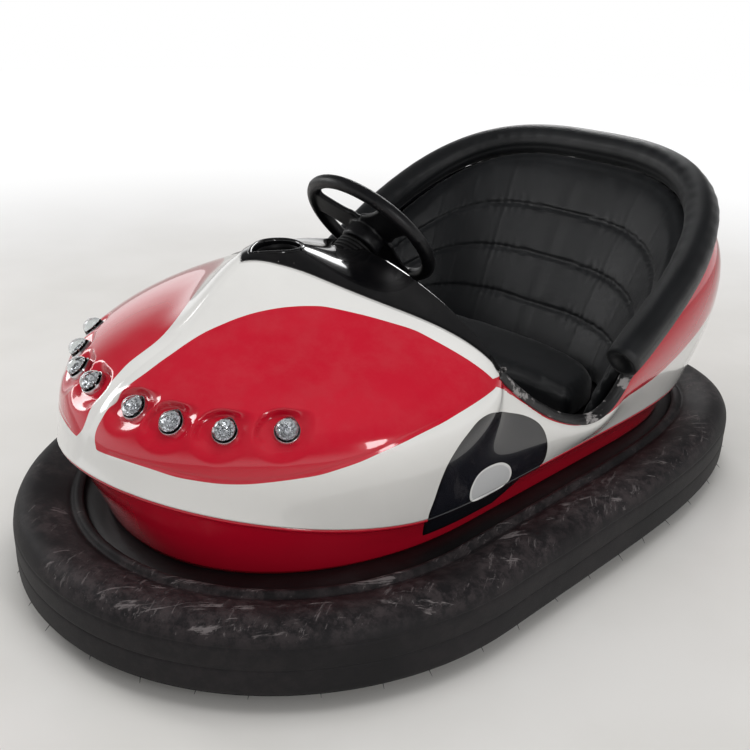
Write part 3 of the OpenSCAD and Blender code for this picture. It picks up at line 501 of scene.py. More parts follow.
def gel_coat(name, red, tree):
    """Glossy painted glass fibre: white or red by a share, and the painted wheel and hub over it, whose
    black also paints shade where a sheet is marked for it.
    """
    place = object_place(tree)
    # The wheel mark gives the painted wheel, and on the tail the painted shade of the edge under the roll
    wheel = mark(tree, "wheel_mm")
    hub = mark(tree, "hub_mm")
    cloudy = noise(tree, place, 5.0, 3.0)
    reds = blended(tree, cloudy, tone("bb0c26"), tone("c6102c"))
    whites = blended(tree, cloudy, tone("dfdedb"), tone("ebeae7"))
    base = blended(tree, red, whites, reds)
    field = blended(tree, spread(tree, wheel, 5.5, 7.5), tone("08080a"), tone("14161d"))
    inner = blended(tree, spread(tree, hub, 4.0, 7.0), tone("f2f2f0"), tone("d2d3d4"))
    ring = blended(tree, spread(tree, hub, -3.4, -2.2), field, tone("08080a"))
    field = blended(tree, spread(tree, hub, -0.5, 0.5), ring, inner)
    base = blended(tree, spread(tree, wheel, -0.5, 0.5), base, field)
    dusty = use(tree, "settled_dust", Place=place, Amount=0.04, Scale=14.0)["Mask"]
    base = blended(tree, dusty, base, tone("a79f9b"))
    inner_face = add(tree, "ShaderNodeNewGeometry").outputs["Backfacing"]
    base = blended(tree, inner_face, base, tone("0b0b0c"))
    fine = use(tree, "scratches", Place=place, Scale=130.0, Share=0.12, Angle=0.3)["Mask"]
    rough = scaled(tree, fine, 0.25, scaled(tree, cloudy, 0.06, 0.16))
    ripple = noise(tree, place, 11.0, 1.0)
    peel = noise(tree, place, 480.0, 1.0)
    high = scaled(tree, ripple, 6.0, product(tree, peel, 0.10))
    edge = spread(tree, reckon(tree, "ABSOLUTE", wheel), 0.0, 2.4, 0.4, 0.0)
    high = reckon(tree, "ADD", high, edge)
    rough = reckon(tree, "MAXIMUM", rough, product(tree, inner_face, 0.7))
    coat = reckon(tree, "SUBTRACT", 1.0, inner_face)
    finish_of(name, {"Base Color": base, "Roughness": rough, "Coat Weight": coat, "Coat Roughness": 0.03,
                     "Coat IOR": 1.5, "Specular IOR Level": 0.2}, high, 0.35, 0.0006)


tree = fresh("skirt_red")
gel_coat("skirt_red", 1.0, tree)
skirt_columns, lip_gap, bead_low, wall_from = 560, 0.6, 31.0, 0.22
skirt_stations = even_stations(lip_form, skirt_columns)
x1, y1 = outline(skirt_stations, lip_form)
x0, y0 = outline(skirt_stations, skirt_form)
nx, ny = outward(skirt_stations, lip_form)
top_z = lip_height(y1) - lip_gap
tall = np.sqrt((top_z - deck_z) ** 2 + (x1 - x0) ** 2 + (y1 - y0) ** 2)
# Section of the bead: millimetres below the lip, depth behind the lip's face
bead = [(0, 8.0), (0.4, 4.0), (2.5, 1.0), (6, -0.6), (10, -0.4), (13.5, 2.0), (16, 6.0), (19, 9.5),
        (24, 11.6), (bead_low, 12.4)]
# Section of the wall under it: share of the height, depth
wall = [(0.30, 12.4), (0.40, 11.9), (0.52, 10.6), (0.64, 8.6), (0.76, 5.6), (0.88, 2.2), (0.95, 0.6),
        (1.0, 0.0)]
rows = [(1 - low / tall, depth) for low, depth in bead]
for share, depth in wall:
    rows.append((1 - between(bead_low / tall, 1.0, (share - wall_from) / (1 - wall_from)), depth))
rows.append((0 * tall, 10.0))
skirt_points = np.stack([
    np.stack([between(x0, x1, k) - d * nx, between(y0, y1, k) - d * ny, between(deck_z, top_z, k)], -1)
    for k, d in rows])
wheel_mm, hub_mm = side_marks(skirt_points)
flank = np.abs(skirt_points[..., 0].ravel()) > 330
marks = {"wheel_mm": np.where(flank, wheel_mm, -50), "hub_mm": np.where(flank, hub_mm, -50)}
skirt = mesh_piece("skirt_moulding", skirt_points, net(len(rows), skirt_columns, False, True)[:, ::-1],
                   "skirt_red", marks=marks)
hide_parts("lower_skirt")


# Hood. The front half of the upper moulding, laid up in one mould from the belt's lip to
# the cowl and the door. Red panels on white, and four lamp scoops on each side.
dash_y, dash_z = -178.0, 685.0
corner_x, corner_z = 465.0, 535.0
sill_y, sill_z, arm_z = 110.0, 343.0, 415.0
rim_half, rim_tail, rim_z, rim_power = 500.0, 771.0, 752.0, 2.9


def opening_edge(s):
    """Edge of the cockpit: the dashboard, the door cut-out, then the seat's rim."""
    u = np.abs(wrapped(s))
    a = np.clip(u / door_at, 0, 1) * math.pi / 2
    dash = np.stack([corner_x * np.sin(a), between(dash_y, door_y, np.sin(a) ** 6),
                     between(dash_z, corner_z, np.sin(a) ** 1.7)], -1)
    k = np.clip((u - door_at) / (arm_at - door_at), 0, 1)
    y = between(door_y, arm_y, k)
    fall = np.clip((sill_y - y) / (sill_y - door_y), 0, None)
    lift = np.clip((y - sill_y) / (arm_y - sill_y), 0, None)
    sill = np.stack([between(corner_x, rim_half, k ** 1.3), y,
                     sill_z + (corner_z - sill_z) * fall ** 1.6 + (arm_z - sill_z) * lift ** 2.2], -1)
    c = np.clip((u - arm_at) / (1 - arm_at), 0, 1) * math.pi / 2
    y = arm_y + (rim_tail - arm_y) * power(np.sin(c), 2 / rim_power)
    rim = np.stack([rim_half * power(np.cos(c), 2 / rim_power), y,
                    between(arm_z, rim_z, (y - arm_y) / (rim_tail - arm_y))], -1)
    return np.where((u <= door_at)[..., None], dash, np.where((u <= arm_at)[..., None], sill, rim))


# Pulls of the skin's curves: out and up at the lip, then out and up at the cockpit's edge
hood_l = dash_y - lip_nose
nose_pull = np.array([-55, 110, 1.018 * hood_l, -134])
cheek_pull = np.array([27, 24, 0.0985 * hood_l, 10])
door_pull = np.array([18, 94, 27, -89.0])
tail_pull = np.array([71, 163, 150, -48.0])


def hump(p):
    """Height of the ridge that widens from the hood's front to the dashboard."""
    back = p[..., 1] - dash_y
    wide = between(50, 198, ease((back + 511) / 455))
    return (88.5 * np.exp(-(p[..., 0] / wide) ** 2) * ease((back + 511) / 240)
            * (1 - ease((back + 244) / 244)))


def skin(s, v):
    """Points of the shell's outer face: v runs from the lip at 0 to the cockpit's edge at 1."""
    s, v = np.broadcast_arrays(np.asarray(s, float), np.asarray(v, float))
    s = wrapped(s)
    u = np.abs(s)
    lip_x, lip_y = outline(u, lip_form)
    b = np.stack([lip_x, lip_y, lip_height(lip_y)], -1)
    e = opening_edge(u)
    a = np.clip(u / door_at, 0, 1) * math.pi / 2
    c = np.clip((u - arm_at) / (1 - arm_at), 0, 1) * math.pi / 2
    front, rear = (u <= door_at)[..., None], (u > arm_at)[..., None]
    away = np.stack([np.sin(a) ** 2, -np.cos(a), 0 * a], -1)
    away = away / np.linalg.norm(away, axis=-1, keepdims=True)
    round_tail = np.stack([np.cos(c), np.sin(c), 0 * c], -1)
    away = np.where(front, away, np.where(rear, round_tail, [1.0, 0.0, 0.0]))
    rise = np.minimum(1, (e[..., 2] - b[..., 2]) / 270)
    side = door_pull * np.stack([1 + 0 * rise, rise, 1 + 0 * rise, rise], -1)
    nose = between(nose_pull, door_pull, (np.sin(a) ** 2)[..., None])
    nose = nose + cheek_pull * np.sin(2 * a)[..., None]
    tail = between(side, tail_pull, ease(1.5 * (u - arm_at) / (1 - arm_at))[..., None])
    pull = np.where(front, nose, np.where(rear, tail, side))
    up = np.array([0, 0, 1.0])
    p1 = b + away * pull[..., 0:1] + up * pull[..., 1:2]
    p2 = e + away * pull[..., 2:3] + up * pull[..., 3:4]
    t = v[..., None]
    w = 1 - t
    p = b * w ** 3 + 3 * p1 * w * w * t + 3 * p2 * w * t * t + e * t ** 3
    p[..., 2] += np.where(u < door_at, hump(p), 0)
    p[..., 0] *= np.where(s < 0, -1, 1)
    return p


def skin_normal(s, v):
    """Direction square to the shell, outwards."""
    s, v = np.broadcast_arrays(np.asarray(s, float), np.asarray(v, float))
    along = skin(s + 0.003, v) - skin(s - 0.003, v)
    over = skin(s, np.minimum(v + 0.008, 1)) - skin(s, np.maximum(v - 0.008, 0))
    n = np.cross(along, over)
    return n / np.linalg.norm(n, axis=-1, keepdims=True)


def cowl_line(u):
    """Front edge of the black cowl over the hood."""
    k = u / door_at
    rising = 0.213 * (1 - np.exp(-power(k / 0.304, 1.1)))
    return np.where(k >= 1, 1.0, 0.826 + rising - 0.095 * k + 0.061 * k ** 8)


# Edges of the red paint on the hood, as station and share of the height
panel_inner = [(0.0191, 0.149), (0.0124, 0.2024), (0.0108, 0.2608), (0.012, 0.3234), (0.0122, 0.3915),
               (0.012, 0.4589), (0.0135, 0.5148), (0.0167, 0.5732), (0.0172, 0.631), (0.019, 0.678),
               (0.0249, 0.7185), (0.035, 0.7561), (0.045, 0.7861), (0.056, 0.8119), (0.0677, 0.8349),
               (0.0801, 0.8556), (0.0928, 0.8712), (0.12, 0.893), (0.145, 0.907), (0.166, 0.9153),
               (0.1857, 0.9154), (0.2132, 0.9119), (0.2424, 0.9046), (0.2714, 0.8933), (0.2975, 0.8796)]
panel_lower = [(0.0191, 0.149), (0.0232, 0.1462), (0.0405, 0.1541), (0.0629, 0.1668), (0.0924, 0.1776),
               (0.1182, 0.1788), (0.1345, 0.1881), (0.1564, 0.2067), (0.1751, 0.2376), (0.1905, 0.28),
               (0.2039, 0.3243), (0.2131, 0.3599), (0.2197, 0.4065), (0.2256, 0.4552), (0.2299, 0.5109),
               (0.2355, 0.5627), (0.2418, 0.6161), (0.2508, 0.6669), (0.2624, 0.7254), (0.2832, 0.7909),
               (0.3121, 0.8528)]
panel_corner = [(0.345, 0.93), (0.4206, 0.9939), (0.43, 1.06), (0.53, 1.06)]
# Lower edge of the red band under the door's edging and round the tail
band_lower = [(0.3121, 0.8528), (0.36, 0.862), (0.4244, 0.876), (0.442, 0.88), (0.4568, 0.866),
              (0.4707, 0.846), (0.4898, 0.832), (0.5053, 0.822), (0.5165, 0.84), (0.525, 0.852),
              (0.5397, 0.8), (0.5593, 0.61), (0.5733, 0.5), (0.5947, 0.449), (0.622, 0.449),
              (0.6483, 0.463), (0.6773, 0.471), (0.7035, 0.4765), (0.8, 0.48), (0.9, 0.48), (1.0, 0.48)]
paint_steps = 5
inner_line = curve_through(panel_inner, paint_steps)
lower_line = curve_through(panel_lower, paint_steps)
band_line = curve_through(band_lower, paint_steps)
front_band = band_line[band_line[:, 0] < 0.52]
red_loop = np.vstack([inner_line, panel_corner, front_band[::-1], lower_line[::-1]])
# Crease in the moulding above the panel's lower edge
groove = curve_through([(0.04, 0.163), (0.065, 0.178), (0.0914, 0.1953), (0.1327, 0.2116),
                        (0.1725, 0.2604), (0.2009, 0.3432), (0.2212, 0.4769), (0.2315, 0.5809),
                        (0.2475, 0.6815), (0.2688, 0.7675)], paint_steps)


def red_marks(s, v, points):
    """How far inside the red paint each point of the hood lies, and how far from the crease."""
    u = np.abs(wrapped(s))
    flat = np.stack([u, v], -1)
    folded = points.reshape(-1, 3).copy()
    folded[:, 0] = np.abs(folded[:, 0])
    loop = np.vstack([red_loop, red_loop[:1]])
    away = line_distance(folded, skin(loop[:, 0], loop[:, 1]))
    crease = line_distance(folded, skin(groove[:, 0], groove[:, 1]))
    return np.where(within(flat, red_loop), away, -away), crease


# Lamps: station and share of the height
lamp_spots = [(0.0399, 0.4452), (0.0833, 0.4502), (0.1233, 0.4861), (0.1562, 0.55)]


def lamp_axes(s, v):
    """A lamp's place on the shell, with the directions along the shell, up it and off it."""
    off = skin_normal(s, v)
    along = skin(s + 0.003, v) - skin(s - 0.003, v)
    along = along - (along @ off) * off
    along = along / np.linalg.norm(along)
    return skin(s, v), along, np.cross(off, along), off


scoop_deep = 15.0


def scooped(points):
    """How far the scoops sink each point of the left half, steep on their inner and upper side."""
    sunk = np.zeros(points.shape[:-1])
    for s, v in lamp_spots:
        middle, along, up, off = lamp_axes(s, v)
        gap = points - middle
        a, b = gap @ along + 8, gap @ up + 6
        turn = np.arctan2(b, a)
        steep = ease((np.cos(turn - math.radians(140)) + 0.1) / 0.8)
        drawn_up = np.exp(-((np.angle(np.exp(1j * (turn - math.radians(52))))) / 0.5) ** 2)
        reach = 50 + 12 * (1 - steep) + 10 * drawn_up * (1 - steep)
        soft = between(38.0, 7.0, steep)
        away = np.sqrt(a * a + b * b) + 0.12 * np.abs(gap @ off)
        lean = np.clip(0.80 + 0.30 * (0.89 * b - 0.45 * a) / 42, 0.35, 1.1)
        sunk = np.maximum(sunk, scoop_deep * lean * (1 - ease((away - (reach - soft)) / soft)))
    return sunk


tree = fresh("hood_paint")
gel_coat("hood_paint", spread(tree, mark(tree, "red_mm"), -0.5, 0.5), tree)
joint_at = 0.49
near = np.concatenate([np.linspace(0, 0.2, 120)[:-1], np.linspace(0.2, joint_at, 130)])
hood_stations = np.concatenate([-near[:0:-1], near])
climb = np.concatenate([np.linspace(0, 0.36, 42)[:-1], np.linspace(0.36, 0.76, 96)[:-1],
                        np.linspace(0.76, 1, 36)])
s_grid, share_grid = np.meshgrid(hood_stations, climb)
v_grid = share_grid * cowl_line(np.abs(s_grid))
hood_points = skin(s_grid, v_grid)
hood_normals = skin_normal(s_grid, v_grid)
# The moulding rounds the corner at the door's front, so its columns are averaged there
reach = 32
weights = np.exp(-(np.arange(-reach, reach + 1) / 13.0) ** 2)
weights /= weights.sum()
wider = np.pad(hood_points, ((0, 0), (reach, reach), (0, 0)), mode="reflect", reflect_type="odd")
softened = sum(w * wider[:, i:i + s_grid.shape[1]] for i, w in enumerate(weights))
share = ease((np.abs(s_grid) - 0.35) / 0.04) * (1 - ease((np.abs(s_grid) - 0.445) / 0.03))
share = share * (1 - ease((v_grid - 0.82) / 0.16))
hood_points = between(hood_points, softened, share[..., None])
left_half = hood_points.copy()
left_half[..., 0] = np.abs(left_half[..., 0])
depth = np.where((v_grid < 0.85) & (np.abs(s_grid) < 0.3), scooped(left_half), 0)
red_mm, crease_mm = red_marks(s_grid, v_grid, hood_points)
depth = depth + 1.3 * np.exp(-(crease_mm.reshape(s_grid.shape) / 3.2) ** 2)
wheel_mm, hub_mm = side_marks(hood_points)
hood_points = hood_points - depth[..., None] * hood_normals


def turned_in(points, normals, thick, ends=0):
    """Adds a sheet's turned edges: its first and last rows, set back by its thickness.

    With ends=1 its two ends are turned too.
    """
    inward = normals.copy()
    inward[0, :, 2] = 0
    inward /= np.linalg.norm(inward, axis=-1, keepdims=True)
    back = points - thick * inward
    grown = np.pad(points, ((1, 1), (ends, ends), (0, 0)), mode="edge")
    edge = np.pad(back, ((1, 1), (ends, ends), (0, 0)), mode="edge")
    for cut in (np.s_[0, :], np.s_[-1, :]) + ((np.s_[:, 0], np.s_[:, -1]) if ends else ()):
        grown[cut] = edge[cut]
    return grown


def sheet_marks(shape, **values):
    """Marks of a sheet's points, repeated on its turned edges."""
    return {name: np.pad(np.asarray(held).reshape(shape), ((1, 1), (0, 0)), mode="edge")
            for name, held in values.items()}


edge_turn = 10.0
hood_grid = turned_in(hood_points, hood_normals, edge_turn)
marks = sheet_marks(s_grid.shape, red_mm=red_mm, wheel_mm=wheel_mm, hub_mm=hub_mm)
hood = mesh_piece("hood_moulding", hood_grid, net(*hood_grid.shape[:2]), "hood_paint", marks=marks)
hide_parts("hood_shell")


# Tail. The rear half of the upper moulding, from the joint in the door sill round the
# seat. A white belt below and a red band that rises under the padded roll.
tree = fresh("tail_paint")
gel_coat("tail_paint", spread(tree, mark(tree, "red_mm"), -0.5, 0.5), tree)
tail_stations = np.concatenate([np.linspace(joint_at, arm_at, 40)[:-1],
                                np.linspace(arm_at, 2 - arm_at, 300)[:-1],
                                np.linspace(2 - arm_at, 2 - joint_at, 40)])
s_grid, v_grid = np.meshgrid(tail_stations, np.linspace(0, 1, 90))
tail_points = skin(s_grid, v_grid)
tail_normals = skin_normal(s_grid, v_grid)
band_height = skin(band_line[:, 0], band_line[:, 1])[:, 2]
u = np.abs(wrapped(s_grid))
red_mm = tail_points[..., 2] - np.interp(u, band_line[:, 0], band_height)
off_sheet = np.full(s_grid.shape, -50.0)
tail_grid = turned_in(tail_points, tail_normals, edge_turn)
marks = sheet_marks(s_grid.shape, red_mm=red_mm, wheel_mm=off_sheet, hub_mm=off_sheet)
# The turned edge under the roll is painted as black as the painted wheel: painted shade, so the gap
# between the roll and the back pad reads dark
marks["wheel_mm"][-3:] = 50.0
tail = mesh_piece("tail_moulding", tail_grid, net(*tail_grid.shape[:2]), "tail_paint", marks=marks)
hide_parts("tail_shell")


# Cowl. A thin glossy black moulding over the top of the hood, from its front edge to the
# dashboard, with a hump, a pointed well and a notch for the steering column.
well_y, well_z, well_slope = -393.0, 719.0, math.radians(4)
wheel_middle, column_lean = np.array([0.0, -117.0, 708.0]), math.radians(50)
column_dir = np.array([0.0, math.sin(column_lean), math.cos(column_lean)])
column_up = np.array([0.0, -column_dir[2], column_dir[1]])


def in_well(points):
    """Points in the well's own level: across, along, above."""
    dy, dz = points[..., 1] - well_y, points[..., 2] - well_z
    return np.stack([points[..., 0], dy * math.cos(well_slope) + dz * math.sin(well_slope),
                     dz * math.cos(well_slope) - dy * math.sin(well_slope)], -1)


def from_well(points):
    """Points of the well's own level, back in the car."""
    y, z = points[..., 1], points[..., 2]
    return np.stack([points[..., 0], well_y + y * math.cos(well_slope) - z * math.sin(well_slope),
                     well_z + y * math.sin(well_slope) + z * math.cos(well_slope)], -1)


# Half of the well's outline: across, along
half_well = [(0.0, -67.0), (6.0, -62.5), (13.5, -55.5), (22.0, -46.0), (32.0, -32.0), (41.0, -17.0),
             (46.5, -3.0), (48.5, 9.0), (47.0, 23.0), (41.5, 36.0), (32.5, 46.5), (20.0, 53.5),
             (7.0, 56.0)]
right_well = curve_through(half_well, 8)
well_loop = np.vstack([right_well, right_well[::-1] * (-1, 1)])
steps = np.linalg.norm(np.diff(well_loop, axis=0), axis=1)
well_loop = well_loop[np.concatenate([[True], steps > 0.3])]

tree = fresh("cowl_black")
place = object_place(tree)
cloudy = noise(tree, place, 6.0, 5.0)
rubbed = spread(tree, cloudy, 0.4, 0.7, 0.1, 0.42)
fine = use(tree, "scratches", Place=place, Scale=95.0, Share=rubbed, Angle=0.8)["Mask"]
chips = add(tree, "ShaderNodeTexVoronoi", {"Vector": place, "Scale": 38.0}).outputs[0]
chipped = product(tree, spread(tree, chips, 0.07, 0.04), spread(tree, cloudy, 0.52, 0.62))
dusty = use(tree, "settled_dust", Place=place, Amount=0.05, Scale=12.0)["Mask"]
base = blended(tree, cloudy, tone("060607"), tone("0a0a0c"))
base = blended(tree, dusty, base, tone("55504f"))
bare = reckon(tree, "MAXIMUM", product(tree, fine, 0.25), product(tree, chipped, 0.6))
base = blended(tree, bare, base, tone("8f8a88"))
rough = scaled(tree, dusty, 0.6, scaled(tree, cloudy, 0.10, 0.13))
ripple = noise(tree, place, 12.0, 1.0)
high = reckon(tree, "SUBTRACT", product(tree, ripple, 5.0), product(tree, chipped, 0.8))
finish_of("cowl_black", {"Base Color": base, "Roughness": rough, "Coat Weight": 0.9,
                         "Coat Roughness": 0.05, "Specular IOR Level": 0.2}, high, 0.35, 0.0006)
cowl_end, cowl_proud, cowl_turn, notch_r = 0.4095, 3.0, 8.0, 52.0
half_cowl = np.concatenate([np.linspace(0, 0.16, 80)[:-1], np.linspace(0.16, cowl_end, 70)])
cowl_stations = np.concatenate([-half_cowl[:0:-1], half_cowl])
s_grid, share_grid = np.meshgrid(cowl_stations, np.linspace(0, 1, 60) ** 1.15)
v_grid = between(cowl_line(np.abs(s_grid)), 1.0, share_grid)
faces_out = skin_normal(s_grid, v_grid)
base_points = skin(s_grid, v_grid)
step_in = np.linalg.norm(base_points - base_points[:1], axis=-1)
proud = cowl_proud - 2.7 * np.exp(-step_in / 1.6)
cowl_grid = turned_in(base_points + proud[..., None] * faces_out, faces_out, cowl_turn, 1)
flat = in_well(cowl_grid)
rows, columns = flat.shape[:2]
inside_well = within(flat[..., :2], well_loop) & (flat[..., 2].ravel() > -40)
gap = cowl_grid - wheel_middle
along = gap @ column_dir
radial = gap - along[..., None] * column_dir
inside_notch = ((np.linalg.norm(radial, axis=-1) < notch_r) & (along < -15)).ravel()
# Faces wholly inside the well or the notch go, and the points left there move to its edge
faces = net(rows, columns)
kept = faces[~np.all((inside_well | inside_notch)[faces], axis=1)]
points = cowl_grid.reshape(-1, 3).copy()
used = np.zeros(len(points), bool)
used[kept.ravel()] = True
for i in np.flatnonzero(used & inside_well):
    local = flat.reshape(-1, 3)[i]
    a, b = well_loop, np.roll(well_loop, -1, axis=0)
    k = np.clip(np.sum((local[:2] - a) * (b - a), 1) / np.maximum(np.sum((b - a) ** 2, 1), 1e-9), 0, 1)
    foot = a + k[:, None] * (b - a)
    nearest = foot[np.argmin(np.linalg.norm(foot - local[:2], axis=1))]
    points[i] = from_well(np.array([nearest[0], nearest[1], local[2]]))
for i in np.flatnonzero(used & inside_notch):
    r = radial.reshape(-1, 3)[i]
    points[i] = points[i] + r * (notch_r / max(np.linalg.norm(r), 1e-6) - 1)
number = np.cumsum(used) - 1
cowl = mesh_piece("dash_cowl_skin", points[used], number[kept], "cowl_black")
cowl.modifiers.new("wall", "SOLIDIFY").thickness = 0.004
cowl.modifiers["wall"].offset = -1
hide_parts("dash_cowl")


def loop_normals(loop):
    """Level directions out of a flat closed loop."""
    t = np.roll(loop, -1, axis=0) - np.roll(loop, 1, axis=0)
    t = t / np.linalg.norm(t, axis=1, keepdims=True)
    n = np.stack([t[:, 1], -t[:, 0]], 1)
    area = 0.5 * np.sum(loop[:, 0] * np.roll(loop[:, 1], -1) - loop[:, 1] * np.roll(loop[:, 0], -1))
    return n if area > 0 else -n


# Well. A pressed cup with a rolled lip, let into the hump. Ring and cup are one
# moulding in glossy black, and its floor is dull.
loop_out = loop_normals(well_loop)
grid_s, grid_v = np.meshgrid(np.linspace(-0.06, 0.06, 220), np.linspace(0.79, 0.97, 220))
skin_local = in_well(skin(grid_s, grid_v)).reshape(-1, 3)
nearest = [np.argmin(np.sum((skin_local[:, :2] - spot) ** 2, axis=1)) for spot in well_loop]
lid = skin_local[nearest, 2] + cowl_proud
lid = sum(np.roll(lid, k) for k in range(-4, 5)) / 9


def well_ring(out, high, share=0.0, follow=1.0):
    """A ring along the well's edge, a distance out of it and above it, drawn in by a share."""
    flat_ring = (well_loop + out * loop_out) * (1 - share)
    return from_well(np.column_stack([flat_ring, lid * follow + high]))


# Section: distance out of the well's edge, height over the cowl
bezel_section = curve_through([(5.2, -0.9), (4.6, 0.6), (3.0, 2.0), (1.0, 2.8), (-1.2, 2.6), (-3.2, 1.4),
                               (-4.6, -1.0), (-5.2, -5.0), (-5.4, -12.0)], 4)
layers = [well_ring(out, high) for out, high in bezel_section]
bezel = mesh_piece("well_bezel", np.stack(layers), net(len(layers), len(well_loop), False, True),
                   "cowl_black")
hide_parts("cowl_bezel")
# Section of the cup, which levels out towards its floor: distance out, height, share drawn in
cup_section = [(-5.3, -8, 0), (-5.6, -20, 0), (-6.2, -36, 0), (-7.5, -48, 0), (-10, -54, 0),
               (-14, -57, 0.25), (-14, -58, 0.5), (-14, -58, 0.75), (-14, -58, 0.97)]
layers = [well_ring(out, high, share, 1 - min(1, -high / 50)) for out, high, share in cup_section]
cup = mesh_piece("well_cup", np.stack(layers), net(len(layers), len(well_loop), False, True),
                 "deck_black")
cup.modifiers.new("wall", "SOLIDIFY").thickness = 0.002
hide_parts("cowl_well")


# Door edging. A U-shaped strip of black rubber pushed over the edge of the door cut-out,
# chipped and chalky along its top.
tree = fresh("edging_rubber")
place = object_place(tree)
cloudy = noise(tree, place, 14.0, 8.0, 0.7)
chalky = spread(tree, cloudy, 0.42, 0.6)
ragged = use(tree, "scratches", Place=place, Scale=60.0, Share=chalky, Angle=0.2)["Mask"]
base = blended(tree, cloudy, tone("0e0e0f"), tone("1d1c1d"))
base = blended(tree, product(tree, ragged, 0.7), base, tone("a5a1a0"))
grit = use(tree, "fine_grit", Place=place, Scale=260.0)["Height"]
finish_of("edging_rubber", {"Base Color": base, "Roughness": scaled(tree, grit, 0.12, 0.36)},
          grit, 0.4, 0.0012)
u = np.linspace(0.405, 0.5655, 150)
edge_points, edge_out = skin(u, 1.0), skin_normal(u, 1.0)
edge_along = skin(u + 0.003, 1.0) - skin(u - 0.003, 1.0)
edge_along = edge_along / np.linalg.norm(edge_along, axis=1, keepdims=True)
edge_up = np.cross(edge_out, edge_along)
# Section: distance off the skin, height over its edge
edging_section = curve_through([(1.5, -17), (3.4, -17), (4.4, -14), (4.6, -8), (4.0, -1), (2.0, 5.0),
                                (-2.5, 8.6), (-8, 8.6), (-12.5, 5), (-14.5, -1), (-15, -9),
                                (-14.4, -15), (-13, -17), (-11, -16)], 3)
for side, label in ((1, "left"), (-1, "right")):
    wobble = np.random.default_rng(5 + side)
    lines = []
    for n, b in edging_section:
        rough_edge = np.convolve(wobble.normal(0, 0.5, len(u) + 6), np.ones(7) / 7, "valid")
        lines.append(edge_points + (n + rough_edge)[:, None] * edge_out
                     + (b + rough_edge)[:, None] * edge_up)
    strip = np.stack(lines) * (side, 1, 1)
    faces = net(len(edging_section), len(u), True)[:, ::side]
    edging = mesh_piece("door_edging_" + label, strip, faces, "edging_rubber")
    if side > 0:
        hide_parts("sill_trim")


# Lamps. Eight clear moulded domes with a pointed brow, each over a faceted bright
# reflector, glued into the scoops.
tree = fresh("lamp_clear")
place = object_place(tree)
smear = noise(tree, place, 60.0, 3.0)
finish_of("lamp_clear", {"Base Color": tone("f4f7f8"), "Transmission Weight": 1.0, "IOR": 1.46,
                         "Roughness": spread(tree, smear, 0.4, 0.8, 0.02, 0.09)}, smear, 0.08, 0.0004)
tree = fresh("lamp_bright")
place = object_place(tree)
smear = noise(tree, place, 90.0, 4.0)
finish_of("lamp_bright", {"Base Color": blended(tree, smear, tone("c3c2c6"), tone("f0eff1")),
                          "Metallic": 1.0, "Roughness": spread(tree, smear, 0.3, 0.8, 0.22, 0.36)},
          smear, 0.1, 0.0004)
lamp_sides, facet_sides = 72, 24
lamp_turns = np.linspace(0, 2 * math.pi, lamp_sides + 1)[:-1]
lamp_r, dome_tall = 22.0, 23.5
# Sections: radius, height over the scoop
rim_section = [(24, -14.0), (24, -4.4), (23.6, -3.8), (22.8, -3.7), (22.3, -4.0), (22.4, -4.2),
               (9, -5.0), (9, -12.6)]
facet_section = [(20.5, 1.5), (17.5, -1.5), (14.0, -4.2), (10.0, -6.4), (6.0, -8.0), (3.6, -1.0),
                 (1.8, 2.4), (0.1, 3.0)]


def brow(turn):
    """Share by which a lamp's outline grows to its pointed top."""
    return 1 + 0.20 * np.exp(-(np.angle(np.exp(1j * (turn - math.pi / 2))) / 0.42) ** 2)


def lamp_ring(wide, high, turns=lamp_turns):
    """A ring of points round a lamp's middle."""
    return np.column_stack([wide * np.cos(turns), wide * np.sin(turns), high + 0 * turns])


def dome_ring(share, foot, ribs=0.0):
    """A ring of the dome at a share of its radius, ribbed on its inner face."""
    high = foot + dome_tall * (1 - share ** 2.3) ** 0.55
    wide = lamp_r * share * brow(lamp_turns) ** share
    return lamp_ring(wide, high + ribs * np.cos(12 * lamp_turns) * share)


def set_down(local, side, s, v):
    """Points of a lamp placed in its scoop, mirrored on the right side."""
    middle, along, up, off = lamp_axes(s, v)
    placed = middle + local @ np.stack([along, up, off])
    return placed * (side, 1, 1)


def joined(parts):
    """Points and faces of several parts in one list each."""
    points, faces, start = [], [], 0
    for p, f in parts:
        flat_points = np.asarray(p, float).reshape(-1, 3)
        points.append(flat_points)
        faces += [[int(c) + start for c in face] for face in f]
        start += len(flat_points)
    return np.vstack(points), faces


def gathered(name, parts, material, side, smooth=True):
    """One piece from the like parts of a side."""
    points, faces = joined([(p, f[:, ::side].tolist()) for p, f in parts])
    made = mesh_piece(name, points, faces, material, smooth=smooth)
    return made


for side, label in ((1, "left"), (-1, "right")):
    domes, cups, facets = [], [], []
    for s, v in lamp_spots:
        shells = [dome_ring(share, -4.0) for share in np.linspace(1, 0, 15)]
        for share in np.linspace(0.02, 0.92, 7):
            shells.append(dome_ring(share, -5.6, 0.35 if int(share * 20) % 2 else -0.35))
        domes.append((set_down(np.stack(shells), side, s, v), net(len(shells), lamp_sides, True, True)))
        rings = [lamp_ring(w * brow(lamp_turns) ** (w / 25), h) for w, h in rim_section]
        cups.append((set_down(np.stack(rings), side, s, v), net(len(rings), lamp_sides, False, True)))
        sharp = []
        for level_at, (w, h) in enumerate(facet_section):
            turns = np.linspace(0, 2 * math.pi, facet_sides + 1)[:-1]
            turns = turns + (math.pi / facet_sides) * (level_at % 2)
            jitter = np.where(np.arange(facet_sides) % 2 == 0, 1.1, -0.5) * (w > 3)
            sharp.append(lamp_ring(w, h + jitter, turns))
        facets.append((set_down(np.stack(sharp), side, s, v), net(len(sharp), facet_sides, False, True)))
    dome = gathered("lamp_domes_" + label, domes, "lamp_clear", side)
    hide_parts("lamp_lenses_" + label)
    rims = gathered("lamp_rims_" + label, cups, "lamp_bright", side)
    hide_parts("lamp_cups_" + label)
    gathered("lamp_reflectors_" + label, facets, "lamp_bright", side, smooth=False)


